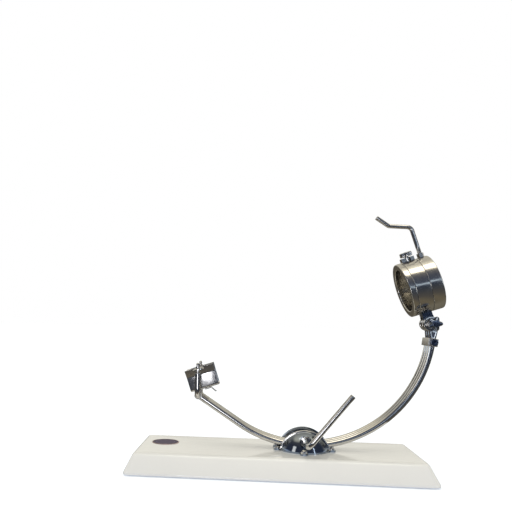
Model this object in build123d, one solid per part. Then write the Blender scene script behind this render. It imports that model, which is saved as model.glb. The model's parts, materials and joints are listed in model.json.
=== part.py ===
from build123d import *
import os
from math import acos, atan2, cos, degrees, hypot, radians, sin, sqrt, tan

# Ham holder stand, in millimetres. +X points to the shank head, -Y to the clamp lever's side, +Z up.
# The origin is the middle of the whole stand's footprint box, on the surface that the feet rest on.

# ---- driving dimensions ----
BASE_CENTRE_X = -14.4      # the head overhangs the base, so the base sits this far off the origin
BASE_LENGTH = 480.0
BASE_WIDTH = 200.0
BASE_TOP = 33.0            # height of the board's top over the table
BASE_LIP = 3.0             # upright band round the foot of the board
END_BEVEL = 13.0           # how far the two end bevels lean in
SIDE_BEVEL = 20.0          # how far the front and back bevels lean in
BASE_CORNER_R = 10.0
TOP_CORNER_R = 6.0
TOP_EDGE_R = 2.5

FOOT_PROUD = 2.0           # how far the rubber feet stand out under the board
FOOT_R = 11.0
FOOT_SINK = 3.0
FOOT_INSET_X = 35.0
FOOT_INSET_Y = 28.0
FOOT_SCREW_R = 1.75
FOOT_SCREW_HEAD_R = 4.2
FOOT_SCREW_HEAD_T = 1.6
FOOT_SCREW_LEN = 10.0      # of its stretch in the board
FOOT_GAP = 0.2             # round a foot in its pocket
FOOT_CHAMFER = 0.8

BADGE_R = 23.2
BADGE_RIM = 1.2
BADGE_X = -188.0           # from the board's centre
BADGE_Y = 16.0
BADGE_SINK = 0.8
BADGE_PROUD = 0.7
BADGE_DISC_LOW = 0.2       # the enamel's face, under the rim's

CLAMP_X = 47.0             # the clamp's middle, from the board's centre
ARCH_X = 48.5              # arch centre, from the board's centre
ARCH_R = 202.0             # to the rods' centre line
ARCH_LOW = 41.0            # height of the rods' centre line at its lowest
ROD_R = 5.0
ROD_PITCH = 12.0

DOME_R = 45.5
DOME_Z = 24.0
PLATE_T = 2.5
PLATE_R = 45.0
PLATE_SCREW_X = 44.0       # from the clamp's middle
PLATE_SCREW_Y = 12.0
CAP_NUT_X = -4.0
CAP_NUT_Y = 52.0
STUD_R = 2.0               # of the plate's screws and studs
STUD_DEPTH = 18.0          # how far they go into the board
HOLE_SPARE = 2.0           # a blind hole is this much deeper than its screw
BUTTON_R = 4.2
BUTTON_T = 3.2
BUTTON_ROUND = 2.6
BUTTON_SOCKET_AF = 2.5
CAP_BALL_R = 4.4
CAP_BALL_LIFT = 2.0        # the cap nut's ball centre, over the plate
CAP_HEX_T = 2.6
CAP_AF = 9.0
EAR_R = 6.5
JAW_T = 4.0
JAW_R = 43.0
JAW_CHAMFER = 0.7
JAW_GAP = 0.3              # between each jaw plate and its outer rod
CHEEK_BOLT_X = 18.0        # from the clamp's middle
CHEEK_BOLT_IN = 7.0        # from the cheek's flat face
CHEEK_BOLT_R = 3.0
CHEEK_BOLT_TOP = 43.0
CHEEK_BOLT_AF = 10.0
CHEEK_BOLT_HEAD_T = 4.0
BOLT_POCKET_R = 8.0
SPACER_HALF = 26.0         # of the spacers between the rods, along the board
SPACER_LOW = 5.5           # from the clamp screw's axis down to their tops
CLAMP_Z = 50.2             # height of the clamp screw's axis
CLAMP_SCREW_R = 3.5
SEAT_Y = 29.0              # flat seats for the washer and the nut on the two cheeks
SEAT_R = 9.5
CLAMP_NUT_AF = 13.0
CLAMP_NUT_T = 8.0
CLAMP_NUT_BALL_R = 6.2
CLAMP_NUT_BORE = 9.5
LEVER_WASHER_R = 8.5
LEVER_WASHER_T = 3.0
TURN_GAP = 0.1             # end play of a piece that turns against a washer or a pad
LEVER_R = 4.3
LEVER_BEND_Y = -82.0
LEVER_LEN = 105.7
LEVER_DEG = 51.0           # the long leg's slope
LEVER_BEND_R = 9.0
LEVER_CHAMFER = 1.0

PIVOT_IN = 3.6             # the head's pivot, from the arch's centre line towards its centre
PIVOT_RISE = 2.0           # and over the arch's centre
EYE_R = 12.0
EYE_T = 5.6
PIVOT_BOLT_R = 4.0
PIVOT_BOLT_AF = 13.0
PIVOT_BOLT_HEAD_T = 5.5
PIVOT_BOLT_SPARE = 12.0    # the bolt's stretch inside the knob
PIVOT_WASHER_R = 9.0
LUG_R = 9.5
LUG_SHOULDER = 2.2         # a lug's web is this much narrower than its round end
LUG_GAP = 0.3
ROD_END_GAP = 0.7          # from the end of a rod to the lug beside its eye
EYE_CLEAR = 0.7            # from the eyes to the bracket above them
BRACKET_WIDTH = 16.0
BRACKET_ROOT = 4.0         # how far the bracket reaches up round the ring's flank
PIVOT_SPACER_T = 8.0
PIVOT_SPACER_R = 6.5
WASHER_T = 1.6
KNOB_WASHER_R = 8.0
KNOB_R = 12.0
KNOB_DEPTH = 15.0
KNOB_LOBES = 5
KNOB_HUB = 0.7             # the hub's and a lobe's radius, as shares of the knob's
KNOB_LOBE = 0.3
KNOB_LOBE_FROM = 1.5       # the lobes' front, behind the hub's
KNOB_LOBE_TO = 0.65        # the lobes' back, as a share of the knob's depth
KNOB_PLAY = 0.05

COLLAR_DEG = -8.0
COLLAR_LEN = 13.0
COLLAR_HALF = 8.0          # radial half depth of the collar block
COLLAR_SCREW_HEAD_R = 6.0
COLLAR_SCREW_HEAD_T = 7.5
COLLAR_SCREW_R = 3.0
COLLAR_SOCKET_AF = 6.0
COLLAR_SOCKET = 4.5
COLLAR_SIDE = 2.5          # the collar's wall outside the outer rods
COLLAR_CHAMFER = 0.8
COLLAR_STUB_GAP = 0.4      # from the screw's end to the front rod

HEAD_PIVOT_S = 23.03       # the pivot, along the head from its left rim
HEAD_PIVOT_DROP = 18.42    # and down from the head's outside
HEAD_TILT = 18.0
HEAD_R = 45.0
HEAD_BORE_R = 35.0
HEAD_INNER_R = 33.5        # the grip end of the bore, past the mouth
FLANGE_T = 9.4
FIXED_T = 23.0
SPOOL_T = 19.4
HEAD_GAP = 0.2             # between the fixed ring and the flanges beside it
SLEEVE_WALL = 4.8
BUSH_T = 2.0
RUN_GAP = 0.1              # running fit, on the radius
SEAT_GAP = 0.05            # close fit, on the radius
FLANGE_SCREW_R = 1.25
FLANGE_SCREWS = 6
FLANGE_SCREW_TO = 10.5     # the screws' ends, along the head
FLANGE_HEAD_R = 2.1
FLANGE_HEAD_T = 1.4
FLANGE_POCKET = 1.6
FLANGE_SLOT = (0.6, 0.8)   # width and depth of a screw's slot
FLANGE_CHAMFER = 0.8
MOUTH_PAST = 2.0           # the wide bore goes this far into the spool

CRANK_R = 3.5
CRANK_S = 43.9             # the crank screw's place along the head
CRANK_INNER = 23.0         # its inner end, from the head's axis
CRANK_RISE = 96.8
CRANK_ARM = (10.3, 109.8)
CRANK_TIP = (-4.4, 129.3)
CRANK_BEND_R = 8.0
CRANK_NUT_AF = 10.0
CRANK_NUT_T = 6.5
PAD_R = 8.0
PAD_T = 4.0
PAD_EDGE_R = 1.0
PAD_WALL = 2.0             # of its socket, over the screw's radius
PAD_SOCKET = 5.0
PAD_ROOT = 0.5             # how far the socket's wall reaches into the pad
CRANK_CHAMFER = 0.8
GRIP_R = 3.0
GRIP_TIP = 26.0            # how near the grip points come to the head's axis
GRIP_POINT_R = 0.5
GRIP_SHOULDER = 1.0        # the cylinder ends this far inside the bore's wall
GRIP_SKIN = 3.2            # from the spool's outside to the grip points' seats
GRIP_DEG = (120, -120)

THUMB_S = 22.1
THUMB_R = 3.25
THUMB_TIP_R = 2.0
THUMB_HEAD_R = 10.0
THUMB_HEAD_T = 7.5
THUMB_LIFT = 1.5           # from the boss to the thumb screw's head
THUMB_HUB = 0.86           # the hub's radius, as a share of the head's
THUMB_LOBES = 6
THUMB_LOBE_R = 3.2
THUMB_END_GAP = 0.4        # from the screw's end to the bush
THUMB_TIP_GAP = 0.15       # from the tip to the turning sleeve
THUMB_TIP_LEN = 6.0        # of its stretch in the screw
BOSS_HEIGHT = 6.0
BOSS_WIDTH = 12.0
BOSS_FROM = 11.5
BOSS_TO = 32.0
BOSS_GAP = 0.5             # round the thumb screw in the boss's notch

FORK_X = -130.0            # from the board's centre
LIP_GAP = 0.65             # from the saddle's lips to the stop discs
FORK_R = 4.75
FORK_CHAMFER = 1.2
FORK_BOTTOM = 118.5
FORK_TOP = 158.0
FORK_BEND_R = 12.0
SLEEVE_TUBE_R = 6.2
SLEEVE_END = 0.5           # from the sleeve's end to where the fork starts to bend
TIP_R = 2.2
TIP_TOP = 174.5
TIP_SEAT = 8.0             # depth of a tip's hole in its prong
TIP_BALL_R = 2.5
SEAT_PLAY = 0.5            # left under a pin at the bottom of its hole
DISC_R = 10.0
DISC_Z = 166.0
DISC_T = 1.4
DISH_R = 26.0              # the sphere that a disc is pressed to
DISC_HUB_R = 3.4
DISC_HUB_T = 4.0

SADDLE_TILT = 18.0
SADDLE_PIN_Z = 141.0
SADDLE_LEFT = 16.9         # reach of the saddle to the left of its pin
SADDLE_RIGHT = 32.5
SADDLE_DROP = 13.5         # from the pin down to the saddle's underside
SADDLE_TOP = 24.0
SADDLE_HALF = 14.3
SADDLE_T = 2.0
LIP_START = 11.5
LIP_FLARE = 22.0
FOLD_R = 4.0               # of the sheet's folds, outside
FOLD_IN_R = 2.0
FOLD_EASE = 0.4            # the inner fold starts this far over the outer one
PIN_R = 3.0
PIN_COLLAR_R = 5.0
PIN_COLLAR_T = 2.0
PIN_SPARE = 0.4            # the pin's end past its collar
TONGUE_WALL = 3.0          # round the pin
TONGUE_HALF = 6.0
TONGUE_WIDE = 5.0
SLOT_FROM = -11.5          # the tongue's slot in the saddle's floor, along the saddle
SLOT_TO = 6.0
SLOT_GAP = 1.0             # on each side of the tongue
TAIL_R = 1.2
TAIL_FROM = 7.0            # the tail's start and bend, along the saddle
TAIL_BEND = 18.0
TAIL_Y = -8.0
TAIL_DROP = 9.0
TAIL_RUN = 6.0             # how far it goes on while it drops
TAIL_BEND_R = 3.5
FAR = 60.0                 # past every piece that is cut, from the cut's middle

# ---- worked out from those ----
ARCH_Z = ARCH_LOW + ARCH_R
ARCH = (BASE_CENTRE_X + ARCH_X, ARCH_Z)
PIVOT_X = ARCH_X + ARCH_R - PIVOT_IN     # from the board's centre, as HEAD_X is
PIVOT_Z = ARCH_Z + PIVOT_RISE
HEAD_DROP = HEAD_R + HEAD_PIVOT_DROP
tilt = radians(HEAD_TILT)
HEAD_X = PIVOT_X - HEAD_PIVOT_S * cos(tilt) - HEAD_DROP * sin(tilt)     # the head's left rim
HEAD_Z = PIVOT_Z - HEAD_PIVOT_S * sin(tilt) + HEAD_DROP * cos(tilt)
flare = radians(LIP_FLARE)
LIP_OUT = SADDLE_HALF + (SADDLE_TOP - LIP_START) * tan(flare)
FORK_HALF = LIP_OUT + LIP_GAP + DISC_R      # from the middle plane to a prong
FORK_DX = FORK_X - ARCH_X
FORK_DZ = FORK_BOTTOM - ARCH_Z
FORK_REACH = hypot(FORK_DX, FORK_DZ)
FORK_DEG = 360 + degrees(atan2(FORK_DZ, FORK_DX))
LEAVE_DEG = FORK_DEG + degrees(acos(ARCH_R / FORK_REACH))   # where the rods leave the arch for the fork
LEAVE_RUN = sqrt(FORK_REACH**2 - ARCH_R**2)
PLATE_TOP = BASE_TOP + PLATE_T
ROD_YS = (-ROD_PITCH, 0.0, ROD_PITCH)
JAW_Y = ROD_PITCH + ROD_R + JAW_GAP
CHEEK_Y = JAW_Y + JAW_T
EYE_OUT = ROD_PITCH + EYE_T / 2
SLEEVE_R = HEAD_BORE_R + SLEEVE_WALL
BUSH_IN = SLEEVE_R + RUN_GAP
BUSH_OUT = BUSH_IN + BUSH_T
FIXED_FROM = FLANGE_T + HEAD_GAP
FIXED_TO = FLANGE_T + FIXED_T
SPOOL_FROM = FIXED_TO + HEAD_GAP
HEAD_LEN = SPOOL_FROM + SPOOL_T
MOUTH_LEN = FIXED_TO + MOUTH_PAST


def cyl_z(x, y, z0, z1, r):
    """An upright cylinder from z0 to z1."""
    return Pos(x, y, (z0 + z1) / 2) * Cylinder(r, z1 - z0)


def cyl_y(x, z, y0, y1, r):
    """A cylinder along Y from y0 to y1."""
    return Pos(x, (y0 + y1) / 2, z) * Rot(90, 0, 0) * Cylinder(r, y1 - y0)


def block(x0, x1, y0, y1, z0, z1):
    """A box between two corners."""
    return Pos((x0 + x1) / 2, (y0 + y1) / 2, (z0 + z1) / 2) * Box(x1 - x0, y1 - y0, z1 - z0)


def hex_z(x, y, z0, z1, across):
    """An upright hexagonal bar, by its distance across flats."""
    bar = extrude(RegularPolygon(across / sqrt(3), 6), z1 - z0)
    return Pos(x, y, z0) * bar


def hex_y(x, z, y0, y1, across):
    """A hexagonal bar along Y, from y0 to y1."""
    bar = extrude(RegularPolygon(across / sqrt(3), 6), y1 - y0)
    return Pos(x, y1, z) * Rot(90, 0, 0) * bar


def arch_point(degrees, radius=ARCH_R):
    """X and Z of a point on the arch, its angle counted from +X towards +Z."""
    a = radians(degrees)
    return ARCH[0] + radius * cos(a), ARCH[1] + radius * sin(a)


def arch_rod(y, radius, start, end):
    """A round bar that follows the arch from one angle to another."""
    x, z = arch_point(start)
    a = radians(start)
    along = Plane(origin=(x, y, z), x_dir=(0, 1, 0), z_dir=(-sin(a), 0, cos(a)))
    axis = Axis((ARCH[0], 0, ARCH[1]), (0, -1, 0))
    return revolve(along * Circle(radius), axis, end - start)


def straight_rod(y, radius):
    """The bar's straight run, from where it leaves the arch to the fork's cross bar."""
    x, z = arch_point(LEAVE_DEG)
    a = radians(LEAVE_DEG)
    along = Plane(origin=(x, y, z), x_dir=(0, 1, 0), z_dir=(sin(a), 0, -cos(a)))
    return extrude(along * Circle(radius), LEAVE_RUN)


# The head's own frame: X up across the head, Y towards the lever's side, Z along its axis.
HEAD = Plane(
    origin=(BASE_CENTRE_X + HEAD_X, 0, HEAD_Z),
    x_dir=(-sin(tilt), 0, cos(tilt)),
    z_dir=(cos(tilt), 0, sin(tilt)),
).location

# The saddle's own frame, at its pin: X along the saddle, Y across the stand, Z up from its floor.
SADDLE = Pos(BASE_CENTRE_X + FORK_X, 0, SADDLE_PIN_Z) * Rot(0, -SADDLE_TILT, 0)


def ring(r_in, r_out, s0, s1):
    """A plain ring about the head's axis, in the head's frame."""
    return Pos(0, 0, (s0 + s1) / 2) * (Cylinder(r_out, s1 - s0) - Cylinder(r_in, s1 - s0))


def radial(s, angle, r0, r1, radius):
    """A cylinder standing out from the head's axis, between two distances from it."""
    bar = Pos((r0 + r1) / 2, 0, s) * Rot(0, 90, 0) * Cylinder(radius, r1 - r0)
    return Rot(0, 0, angle) * bar


pivot_x, pivot_z = BASE_CENTRE_X + PIVOT_X, PIVOT_Z
fork_x = BASE_CENTRE_X + FORK_X
clamp_x = BASE_CENTRE_X + CLAMP_X
parts = {}

# ---- base ----
foot = RectangleRounded(BASE_LENGTH, BASE_WIDTH, BASE_CORNER_R)
top = RectangleRounded(BASE_LENGTH - 2 * END_BEVEL, BASE_WIDTH - 2 * SIDE_BEVEL, TOP_CORNER_R)
lip = Pos(0, 0, FOOT_PROUD) * extrude(foot, BASE_LIP)
slope = loft([Pos(0, 0, FOOT_PROUD + BASE_LIP) * foot, Pos(0, 0, BASE_TOP) * top], ruled=True)
board = lip + slope
board = fillet(board.edges().group_by(Axis.Z)[-1], TOP_EDGE_R)
board = Pos(BASE_CENTRE_X, 0, 0) * board

foot_spots = [
    (BASE_CENTRE_X + i * (BASE_LENGTH / 2 - FOOT_INSET_X), j * (BASE_WIDTH / 2 - FOOT_INSET_Y))
    for i in (-1, 1)
    for j in (-1, 1)
]
feet, foot_screws = [], []
for x, y in foot_spots:
    seat = FOOT_PROUD + FOOT_SINK
    board -= cyl_z(x, y, 0, seat, FOOT_R + FOOT_GAP)
    board -= cyl_z(x, y, seat, seat + FOOT_SCREW_LEN + HOLE_SPARE, FOOT_SCREW_R + SEAT_GAP)
    pad = cyl_z(x, y, 0, seat, FOOT_R)
    pad = chamfer(pad.edges().group_by(Axis.Z)[0], FOOT_CHAMFER)
    pad -= cyl_z(x, y, 0, seat / 2, FOOT_SCREW_HEAD_R + 2 * FOOT_GAP)
    pad -= cyl_z(x, y, 0, seat, FOOT_SCREW_R + SEAT_GAP)
    feet.append(pad)
    head = cyl_z(x, y, seat / 2 - FOOT_SCREW_HEAD_T, seat / 2, FOOT_SCREW_HEAD_R)
    head = fillet(head.edges().group_by(Axis.Z)[0], 0.6 * FOOT_SCREW_HEAD_T)
    foot_screws.append(head + cyl_z(x, y, seat / 2, seat + FOOT_SCREW_LEN, FOOT_SCREW_R))
parts["rubber_feet"] = feet
parts["foot_screws"] = foot_screws

badge_x, badge_z = BASE_CENTRE_X + BADGE_X, BASE_TOP - BADGE_SINK
board -= cyl_z(badge_x, BADGE_Y, badge_z, BASE_TOP, BADGE_R + SEAT_GAP)
rim = cyl_z(badge_x, BADGE_Y, badge_z, BASE_TOP + BADGE_PROUD, BADGE_R)
rim -= cyl_z(badge_x, BADGE_Y, badge_z, BASE_TOP + BADGE_PROUD, BADGE_R - BADGE_RIM)
disc_top = BASE_TOP + BADGE_PROUD - BADGE_DISC_LOW
parts["badge_rim"] = rim
parts["badge_disc"] = cyl_z(badge_x, BADGE_Y, badge_z, disc_top, BADGE_R - BADGE_RIM - SEAT_GAP)

# ---- clamp on the board ----
plate = cyl_z(clamp_x, 0, BASE_TOP, PLATE_TOP, PLATE_R)
screw_spots = [
    (clamp_x + i * PLATE_SCREW_X, j * PLATE_SCREW_Y) for i in (-1, 1) for j in (-1, 1)
]
nut_spots = [(clamp_x + CAP_NUT_X, j * CAP_NUT_Y) for j in (-1, 1)]
for x, y in screw_spots + nut_spots:
    plate += cyl_z(x, y, BASE_TOP, PLATE_TOP, EAR_R)
for x, y in nut_spots:
    plate += block(x - EAR_R, x + EAR_R, min(y, 0), max(y, 0), BASE_TOP, PLATE_TOP)
for x, y in screw_spots + nut_spots:
    plate -= cyl_z(x, y, BASE_TOP, PLATE_TOP, STUD_R + SEAT_GAP)
    board -= cyl_z(x, y, BASE_TOP - STUD_DEPTH - HOLE_SPARE, BASE_TOP, STUD_R + SEAT_GAP)


def button_screw(x, y):
    """A wood screw with a low domed head, standing on the clamp plate."""
    head = cyl_z(x, y, PLATE_TOP, PLATE_TOP + BUTTON_T, BUTTON_R)
    head = fillet(head.edges().group_by(Axis.Z)[-1], BUTTON_ROUND)
    head -= hex_z(x, y, PLATE_TOP + BUTTON_T / 2, PLATE_TOP + BUTTON_T, BUTTON_SOCKET_AF)
    return head + cyl_z(x, y, BASE_TOP - STUD_DEPTH, PLATE_TOP, STUD_R)


def cap_nut(x, y):
    """A small domed nut on its stud."""
    ball_z = PLATE_TOP + CAP_BALL_LIFT
    nut = hex_z(x, y, PLATE_TOP, PLATE_TOP + CAP_HEX_T, CAP_AF) + Pos(x, y, ball_z) * Sphere(CAP_BALL_R)
    nut &= block(x - CAP_AF, x + CAP_AF, y - CAP_AF, y + CAP_AF, PLATE_TOP, PLATE_TOP + CAP_AF)
    return nut + cyl_z(x, y, BASE_TOP - STUD_DEPTH, PLATE_TOP, STUD_R)


parts["plate_screws"] = [button_screw(*spot) for spot in screw_spots]
parts["plate_cap_nuts"] = [cap_nut(*spot) for spot in nut_spots]

dome = Pos(clamp_x, 0, DOME_Z) * Sphere(DOME_R)
jaw_disc = cyl_y(clamp_x, DOME_Z, -JAW_T / 2, JAW_T / 2, JAW_R)
jaw_disc = chamfer(jaw_disc.edges().filter_by(GeomType.CIRCLE), JAW_CHAMFER)
above_plate = block(clamp_x - FAR, clamp_x + FAR, -FAR, FAR, PLATE_TOP, PLATE_TOP + FAR)
jaw_disc &= above_plate
cheek_bolts = []
for side, name in ((-1, "front"), (1, "rear")):
    near, far = sorted((side * CHEEK_Y, side * FAR))
    cheek = dome & block(clamp_x - FAR, clamp_x + FAR, near, far, PLATE_TOP, PLATE_TOP + FAR)
    seat, out = sorted((side * SEAT_Y, side * FAR))
    cheek -= cyl_y(clamp_x, CLAMP_Z, seat, out, SEAT_R)
    cheek -= cyl_y(clamp_x, CLAMP_Z, -FAR, FAR, CLAMP_SCREW_R + RUN_GAP)
    jaw = Pos(0, side * (JAW_Y + JAW_T / 2), 0) * jaw_disc
    jaw -= cyl_y(clamp_x, CLAMP_Z, -FAR, FAR, CLAMP_SCREW_R + RUN_GAP)
    for x in (clamp_x - CHEEK_BOLT_X, clamp_x + CHEEK_BOLT_X):
        y = side * (CHEEK_Y + CHEEK_BOLT_IN)
        bolt_hole = CHEEK_BOLT_R + SEAT_GAP
        pocket_top = FOOT_PROUD + 2 * CHEEK_BOLT_HEAD_T
        cheek -= cyl_z(x, y, PLATE_TOP, CHEEK_BOLT_TOP + SEAT_GAP, bolt_hole)
        plate -= cyl_z(x, y, BASE_TOP, PLATE_TOP, bolt_hole)
        board -= cyl_z(x, y, FOOT_PROUD, BASE_TOP, bolt_hole)
        board -= cyl_z(x, y, FOOT_PROUD, pocket_top, BOLT_POCKET_R)
        head = hex_z(x, y, pocket_top - CHEEK_BOLT_HEAD_T, pocket_top, CHEEK_BOLT_AF)
        cheek_bolts.append(head + cyl_z(x, y, pocket_top, CHEEK_BOLT_TOP, CHEEK_BOLT_R))
    parts[f"{name}_cheek"] = cheek
    parts[f"{name}_jaw_plate"] = jaw
parts["cheek_bolts"] = cheek_bolts
parts["clamp_plate"] = plate
parts["base_board"] = board

spacer_t = ROD_PITCH - 2 * ROD_R - 2 * JAW_GAP
parts["rod_spacers"] = [
    block(
        clamp_x - SPACER_HALF, clamp_x + SPACER_HALF, y - spacer_t / 2, y + spacer_t / 2,
        PLATE_TOP, CLAMP_Z - SPACER_LOW,
    )
    for y in (-ROD_PITCH / 2, ROD_PITCH / 2)
]
nut = hex_y(clamp_x, CLAMP_Z, SEAT_Y, SEAT_Y + CLAMP_NUT_T, CLAMP_NUT_AF)
nut += Pos(clamp_x, SEAT_Y + CLAMP_NUT_T, CLAMP_Z) * Sphere(CLAMP_NUT_BALL_R)
nut -= cyl_y(clamp_x, CLAMP_Z, SEAT_Y - FAR, SEAT_Y, CLAMP_NUT_AF)
nut -= cyl_y(clamp_x, CLAMP_Z, SEAT_Y, SEAT_Y + CLAMP_NUT_BORE, CLAMP_SCREW_R + RUN_GAP)
parts["clamp_nut"] = nut
washer = cyl_y(clamp_x, CLAMP_Z, -SEAT_Y - LEVER_WASHER_T, -SEAT_Y, LEVER_WASHER_R)
washer = fillet(washer.faces().sort_by(Axis.Y)[0].edges(), 0.25 * LEVER_WASHER_T)
parts["lever_washer"] = washer - cyl_y(clamp_x, CLAMP_Z, -FAR, 0, CLAMP_SCREW_R + RUN_GAP)

# ---- lever ----
lever_from = -SEAT_Y - LEVER_WASHER_T - TURN_GAP
lift = radians(LEVER_DEG)
bend = Vector(clamp_x, LEVER_BEND_Y, CLAMP_Z)
tip = bend + Vector(cos(lift), 0, sin(lift)) * LEVER_LEN
lever_path = FilletPolyline((clamp_x, lever_from, CLAMP_Z), bend, tip, radius=LEVER_BEND_R)
lever = sweep(
    Plane(origin=(clamp_x, lever_from, CLAMP_Z), z_dir=(0, -1, 0)) * Circle(LEVER_R), lever_path
)
tip_edges = lever.faces().sort_by(Axis.Z)[-1].edges()
lever = chamfer(tip_edges, LEVER_CHAMFER)
parts["clamp_lever"] = lever + cyl_y(
    clamp_x, CLAMP_Z, lever_from, SEAT_Y + CLAMP_NUT_T, CLAMP_SCREW_R
)

# ---- arch ----
pivot_deg = degrees(atan2(PIVOT_Z - ARCH_Z, PIVOT_X - ARCH_X))
rod_end_deg = pivot_deg - degrees((LUG_R + ROD_END_GAP) / ARCH_R)
collar_x, collar_z = arch_point(COLLAR_DEG)
collar_turn = Pos(collar_x, 0, collar_z) * Rot(0, -COLLAR_DEG, 0)
collar_span = degrees(COLLAR_LEN / ARCH_R)
collar_half_y = ROD_PITCH + ROD_R + COLLAR_SIDE
collar = collar_turn * Box(2 * COLLAR_HALF, 2 * collar_half_y, COLLAR_LEN)
collar = chamfer(collar.edges(), COLLAR_CHAMFER)
eye_holes = cyl_y(pivot_x, pivot_z, -FAR, FAR, PIVOT_BOLT_R + SEAT_GAP)
fork_clear = cyl_y(fork_x, FORK_BOTTOM, -FAR, FAR, SLEEVE_TUBE_R + SEAT_GAP)
for y, name in zip(ROD_YS, ("front", "middle", "rear")):
    rod = arch_rod(y, ROD_R, LEAVE_DEG, rod_end_deg + 360) + straight_rod(y, ROD_R) - fork_clear
    eye = cyl_y(pivot_x, pivot_z, y - EYE_T / 2, y + EYE_T / 2, EYE_R)
    parts[f"arch_rod_{name}"] = rod + eye - eye_holes
    collar -= arch_rod(y, ROD_R + SEAT_GAP, COLLAR_DEG - collar_span, COLLAR_DEG + collar_span)
stub_end = -ROD_PITCH - ROD_R - COLLAR_STUB_GAP
collar -= cyl_y(collar_x, collar_z, -collar_half_y, stub_end, COLLAR_SCREW_R + SEAT_GAP)
parts["rod_collar"] = collar
screw_out = -collar_half_y - COLLAR_SCREW_HEAD_T
screw = cyl_y(collar_x, collar_z, screw_out, -collar_half_y, COLLAR_SCREW_HEAD_R)
screw = fillet(screw.faces().sort_by(Axis.Y)[0].edges(), COLLAR_SCREW_HEAD_R / 6)
screw -= hex_y(collar_x, collar_z, screw_out, screw_out + COLLAR_SOCKET, COLLAR_SOCKET_AF)
parts["collar_screw"] = screw + cyl_y(
    collar_x, collar_z, -collar_half_y, stub_end, COLLAR_SCREW_R
)

# ---- pivot of the head on the arch ----
front_washer = -EYE_OUT - WASHER_T
spacer_out = front_washer - PIVOT_SPACER_T
bolt_end = spacer_out - WASHER_T - PIVOT_BOLT_SPARE
rear_washer = EYE_OUT + WASHER_T
bolt = cyl_y(pivot_x, pivot_z, bolt_end, rear_washer, PIVOT_BOLT_R)
bolt += hex_y(pivot_x, pivot_z, rear_washer, rear_washer + PIVOT_BOLT_HEAD_T, PIVOT_BOLT_AF)
parts["pivot_bolt"] = bolt


def pivot_ring(y0, y1, radius):
    """A plain ring on the pivot bolt."""
    return cyl_y(pivot_x, pivot_z, y0, y1, radius) - cyl_y(
        pivot_x, pivot_z, y0, y1, PIVOT_BOLT_R + SEAT_GAP
    )


parts["pivot_washers"] = [
    pivot_ring(front_washer, -EYE_OUT, PIVOT_WASHER_R),
    pivot_ring(EYE_OUT, rear_washer, PIVOT_WASHER_R),
]
parts["pivot_spacer"] = pivot_ring(spacer_out, front_washer, PIVOT_SPACER_R)
knob_seat = spacer_out - TURN_GAP
parts["knob_washer"] = cyl_y(pivot_x, pivot_z, knob_seat - WASHER_T, knob_seat, KNOB_WASHER_R) - cyl_y(
    pivot_x, pivot_z, knob_seat - WASHER_T, knob_seat, PIVOT_BOLT_R + RUN_GAP
)
knob_back = knob_seat - WASHER_T - KNOB_PLAY
knob_front = knob_back - KNOB_DEPTH
knob = cyl_y(pivot_x, pivot_z, knob_front, knob_back, KNOB_HUB * KNOB_R)
lobe_r = KNOB_LOBE * KNOB_R
lobe_span = knob_front + KNOB_LOBE_FROM, knob_front + KNOB_LOBE_TO * KNOB_DEPTH
for i in range(KNOB_LOBES):
    a = radians(360 / KNOB_LOBES * i)
    at = (pivot_x + (KNOB_R - lobe_r) * cos(a), pivot_z + (KNOB_R - lobe_r) * sin(a))
    knob += cyl_y(*at, *lobe_span, lobe_r)
    web = Pos(pivot_x, 0, pivot_z) * Rot(0, -360 / KNOB_LOBES * i, 0)
    knob += web * block(0, KNOB_R - lobe_r, *lobe_span, -lobe_r, lobe_r)
knob -= cyl_y(pivot_x, pivot_z, bolt_end - SEAT_PLAY, knob_back, PIVOT_BOLT_R + RUN_GAP)
parts["star_knob"] = knob

# ---- head: the ring that stays on the bracket ----
fixed = ring(BUSH_OUT + SEAT_GAP, HEAD_R, FIXED_FROM, FIXED_TO)
bush = ring(BUSH_IN, BUSH_OUT, FIXED_FROM, FIXED_TO)
fixed -= radial(THUMB_S, 0, 0, HEAD_R + 1, THUMB_R + RUN_GAP)
bush -= radial(THUMB_S, 0, 0, HEAD_R + 1, THUMB_R + RUN_GAP)
parts["fixed_ring"] = HEAD * fixed
parts["nylon_bush"] = HEAD * bush

half = BOSS_WIDTH / 2
boss_low = HEAD_R - 2
boss = Pos((boss_low + HEAD_R + BOSS_HEIGHT) / 2, 0, (BOSS_FROM + BOSS_TO) / 2) * Box(
    HEAD_R + BOSS_HEIGHT - boss_low, BOSS_WIDTH, BOSS_TO - BOSS_FROM
)
boss -= ring(0.5, HEAD_R + SEAT_GAP, 0, HEAD_LEN)
boss -= radial(THUMB_S, 0, 0, HEAD_R + FAR, THUMB_R + BOSS_GAP)
boss -= Pos(HEAD_R, half, THUMB_S) * Box(4 * BOSS_HEIGHT, 2 * half, 2 * (THUMB_R + BOSS_GAP))
parts["lock_boss"] = HEAD * boss

lug_y = ROD_PITCH / 2
lug_t = ROD_PITCH - EYE_T - 2 * LUG_GAP
block_half_y = lug_y + lug_t / 2
block_low = -HEAD_DROP + EYE_R + EYE_CLEAR
block_high = -HEAD_R + BRACKET_ROOT
bracket = Pos((block_low + block_high) / 2, 0, HEAD_PIVOT_S) * Box(
    block_high - block_low, 2 * block_half_y, BRACKET_WIDTH
)
for y in (-lug_y, lug_y):
    lug = Pos(-HEAD_DROP, y, HEAD_PIVOT_S) * Rot(90, 0, 0) * Cylinder(LUG_R, lug_t)
    lug += Pos((block_low - HEAD_DROP) / 2, y, HEAD_PIVOT_S) * Box(
        block_low + HEAD_DROP, lug_t, 2 * LUG_R - LUG_SHOULDER
    )
    bracket += lug
bracket -= Pos(-HEAD_DROP, 0, HEAD_PIVOT_S) * Rot(90, 0, 0) * Cylinder(PIVOT_BOLT_R + RUN_GAP, FAR)
bracket -= ring(0.5, HEAD_R + SEAT_GAP, -FAR, FAR)
parts["ring_bracket"] = HEAD * bracket

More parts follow.
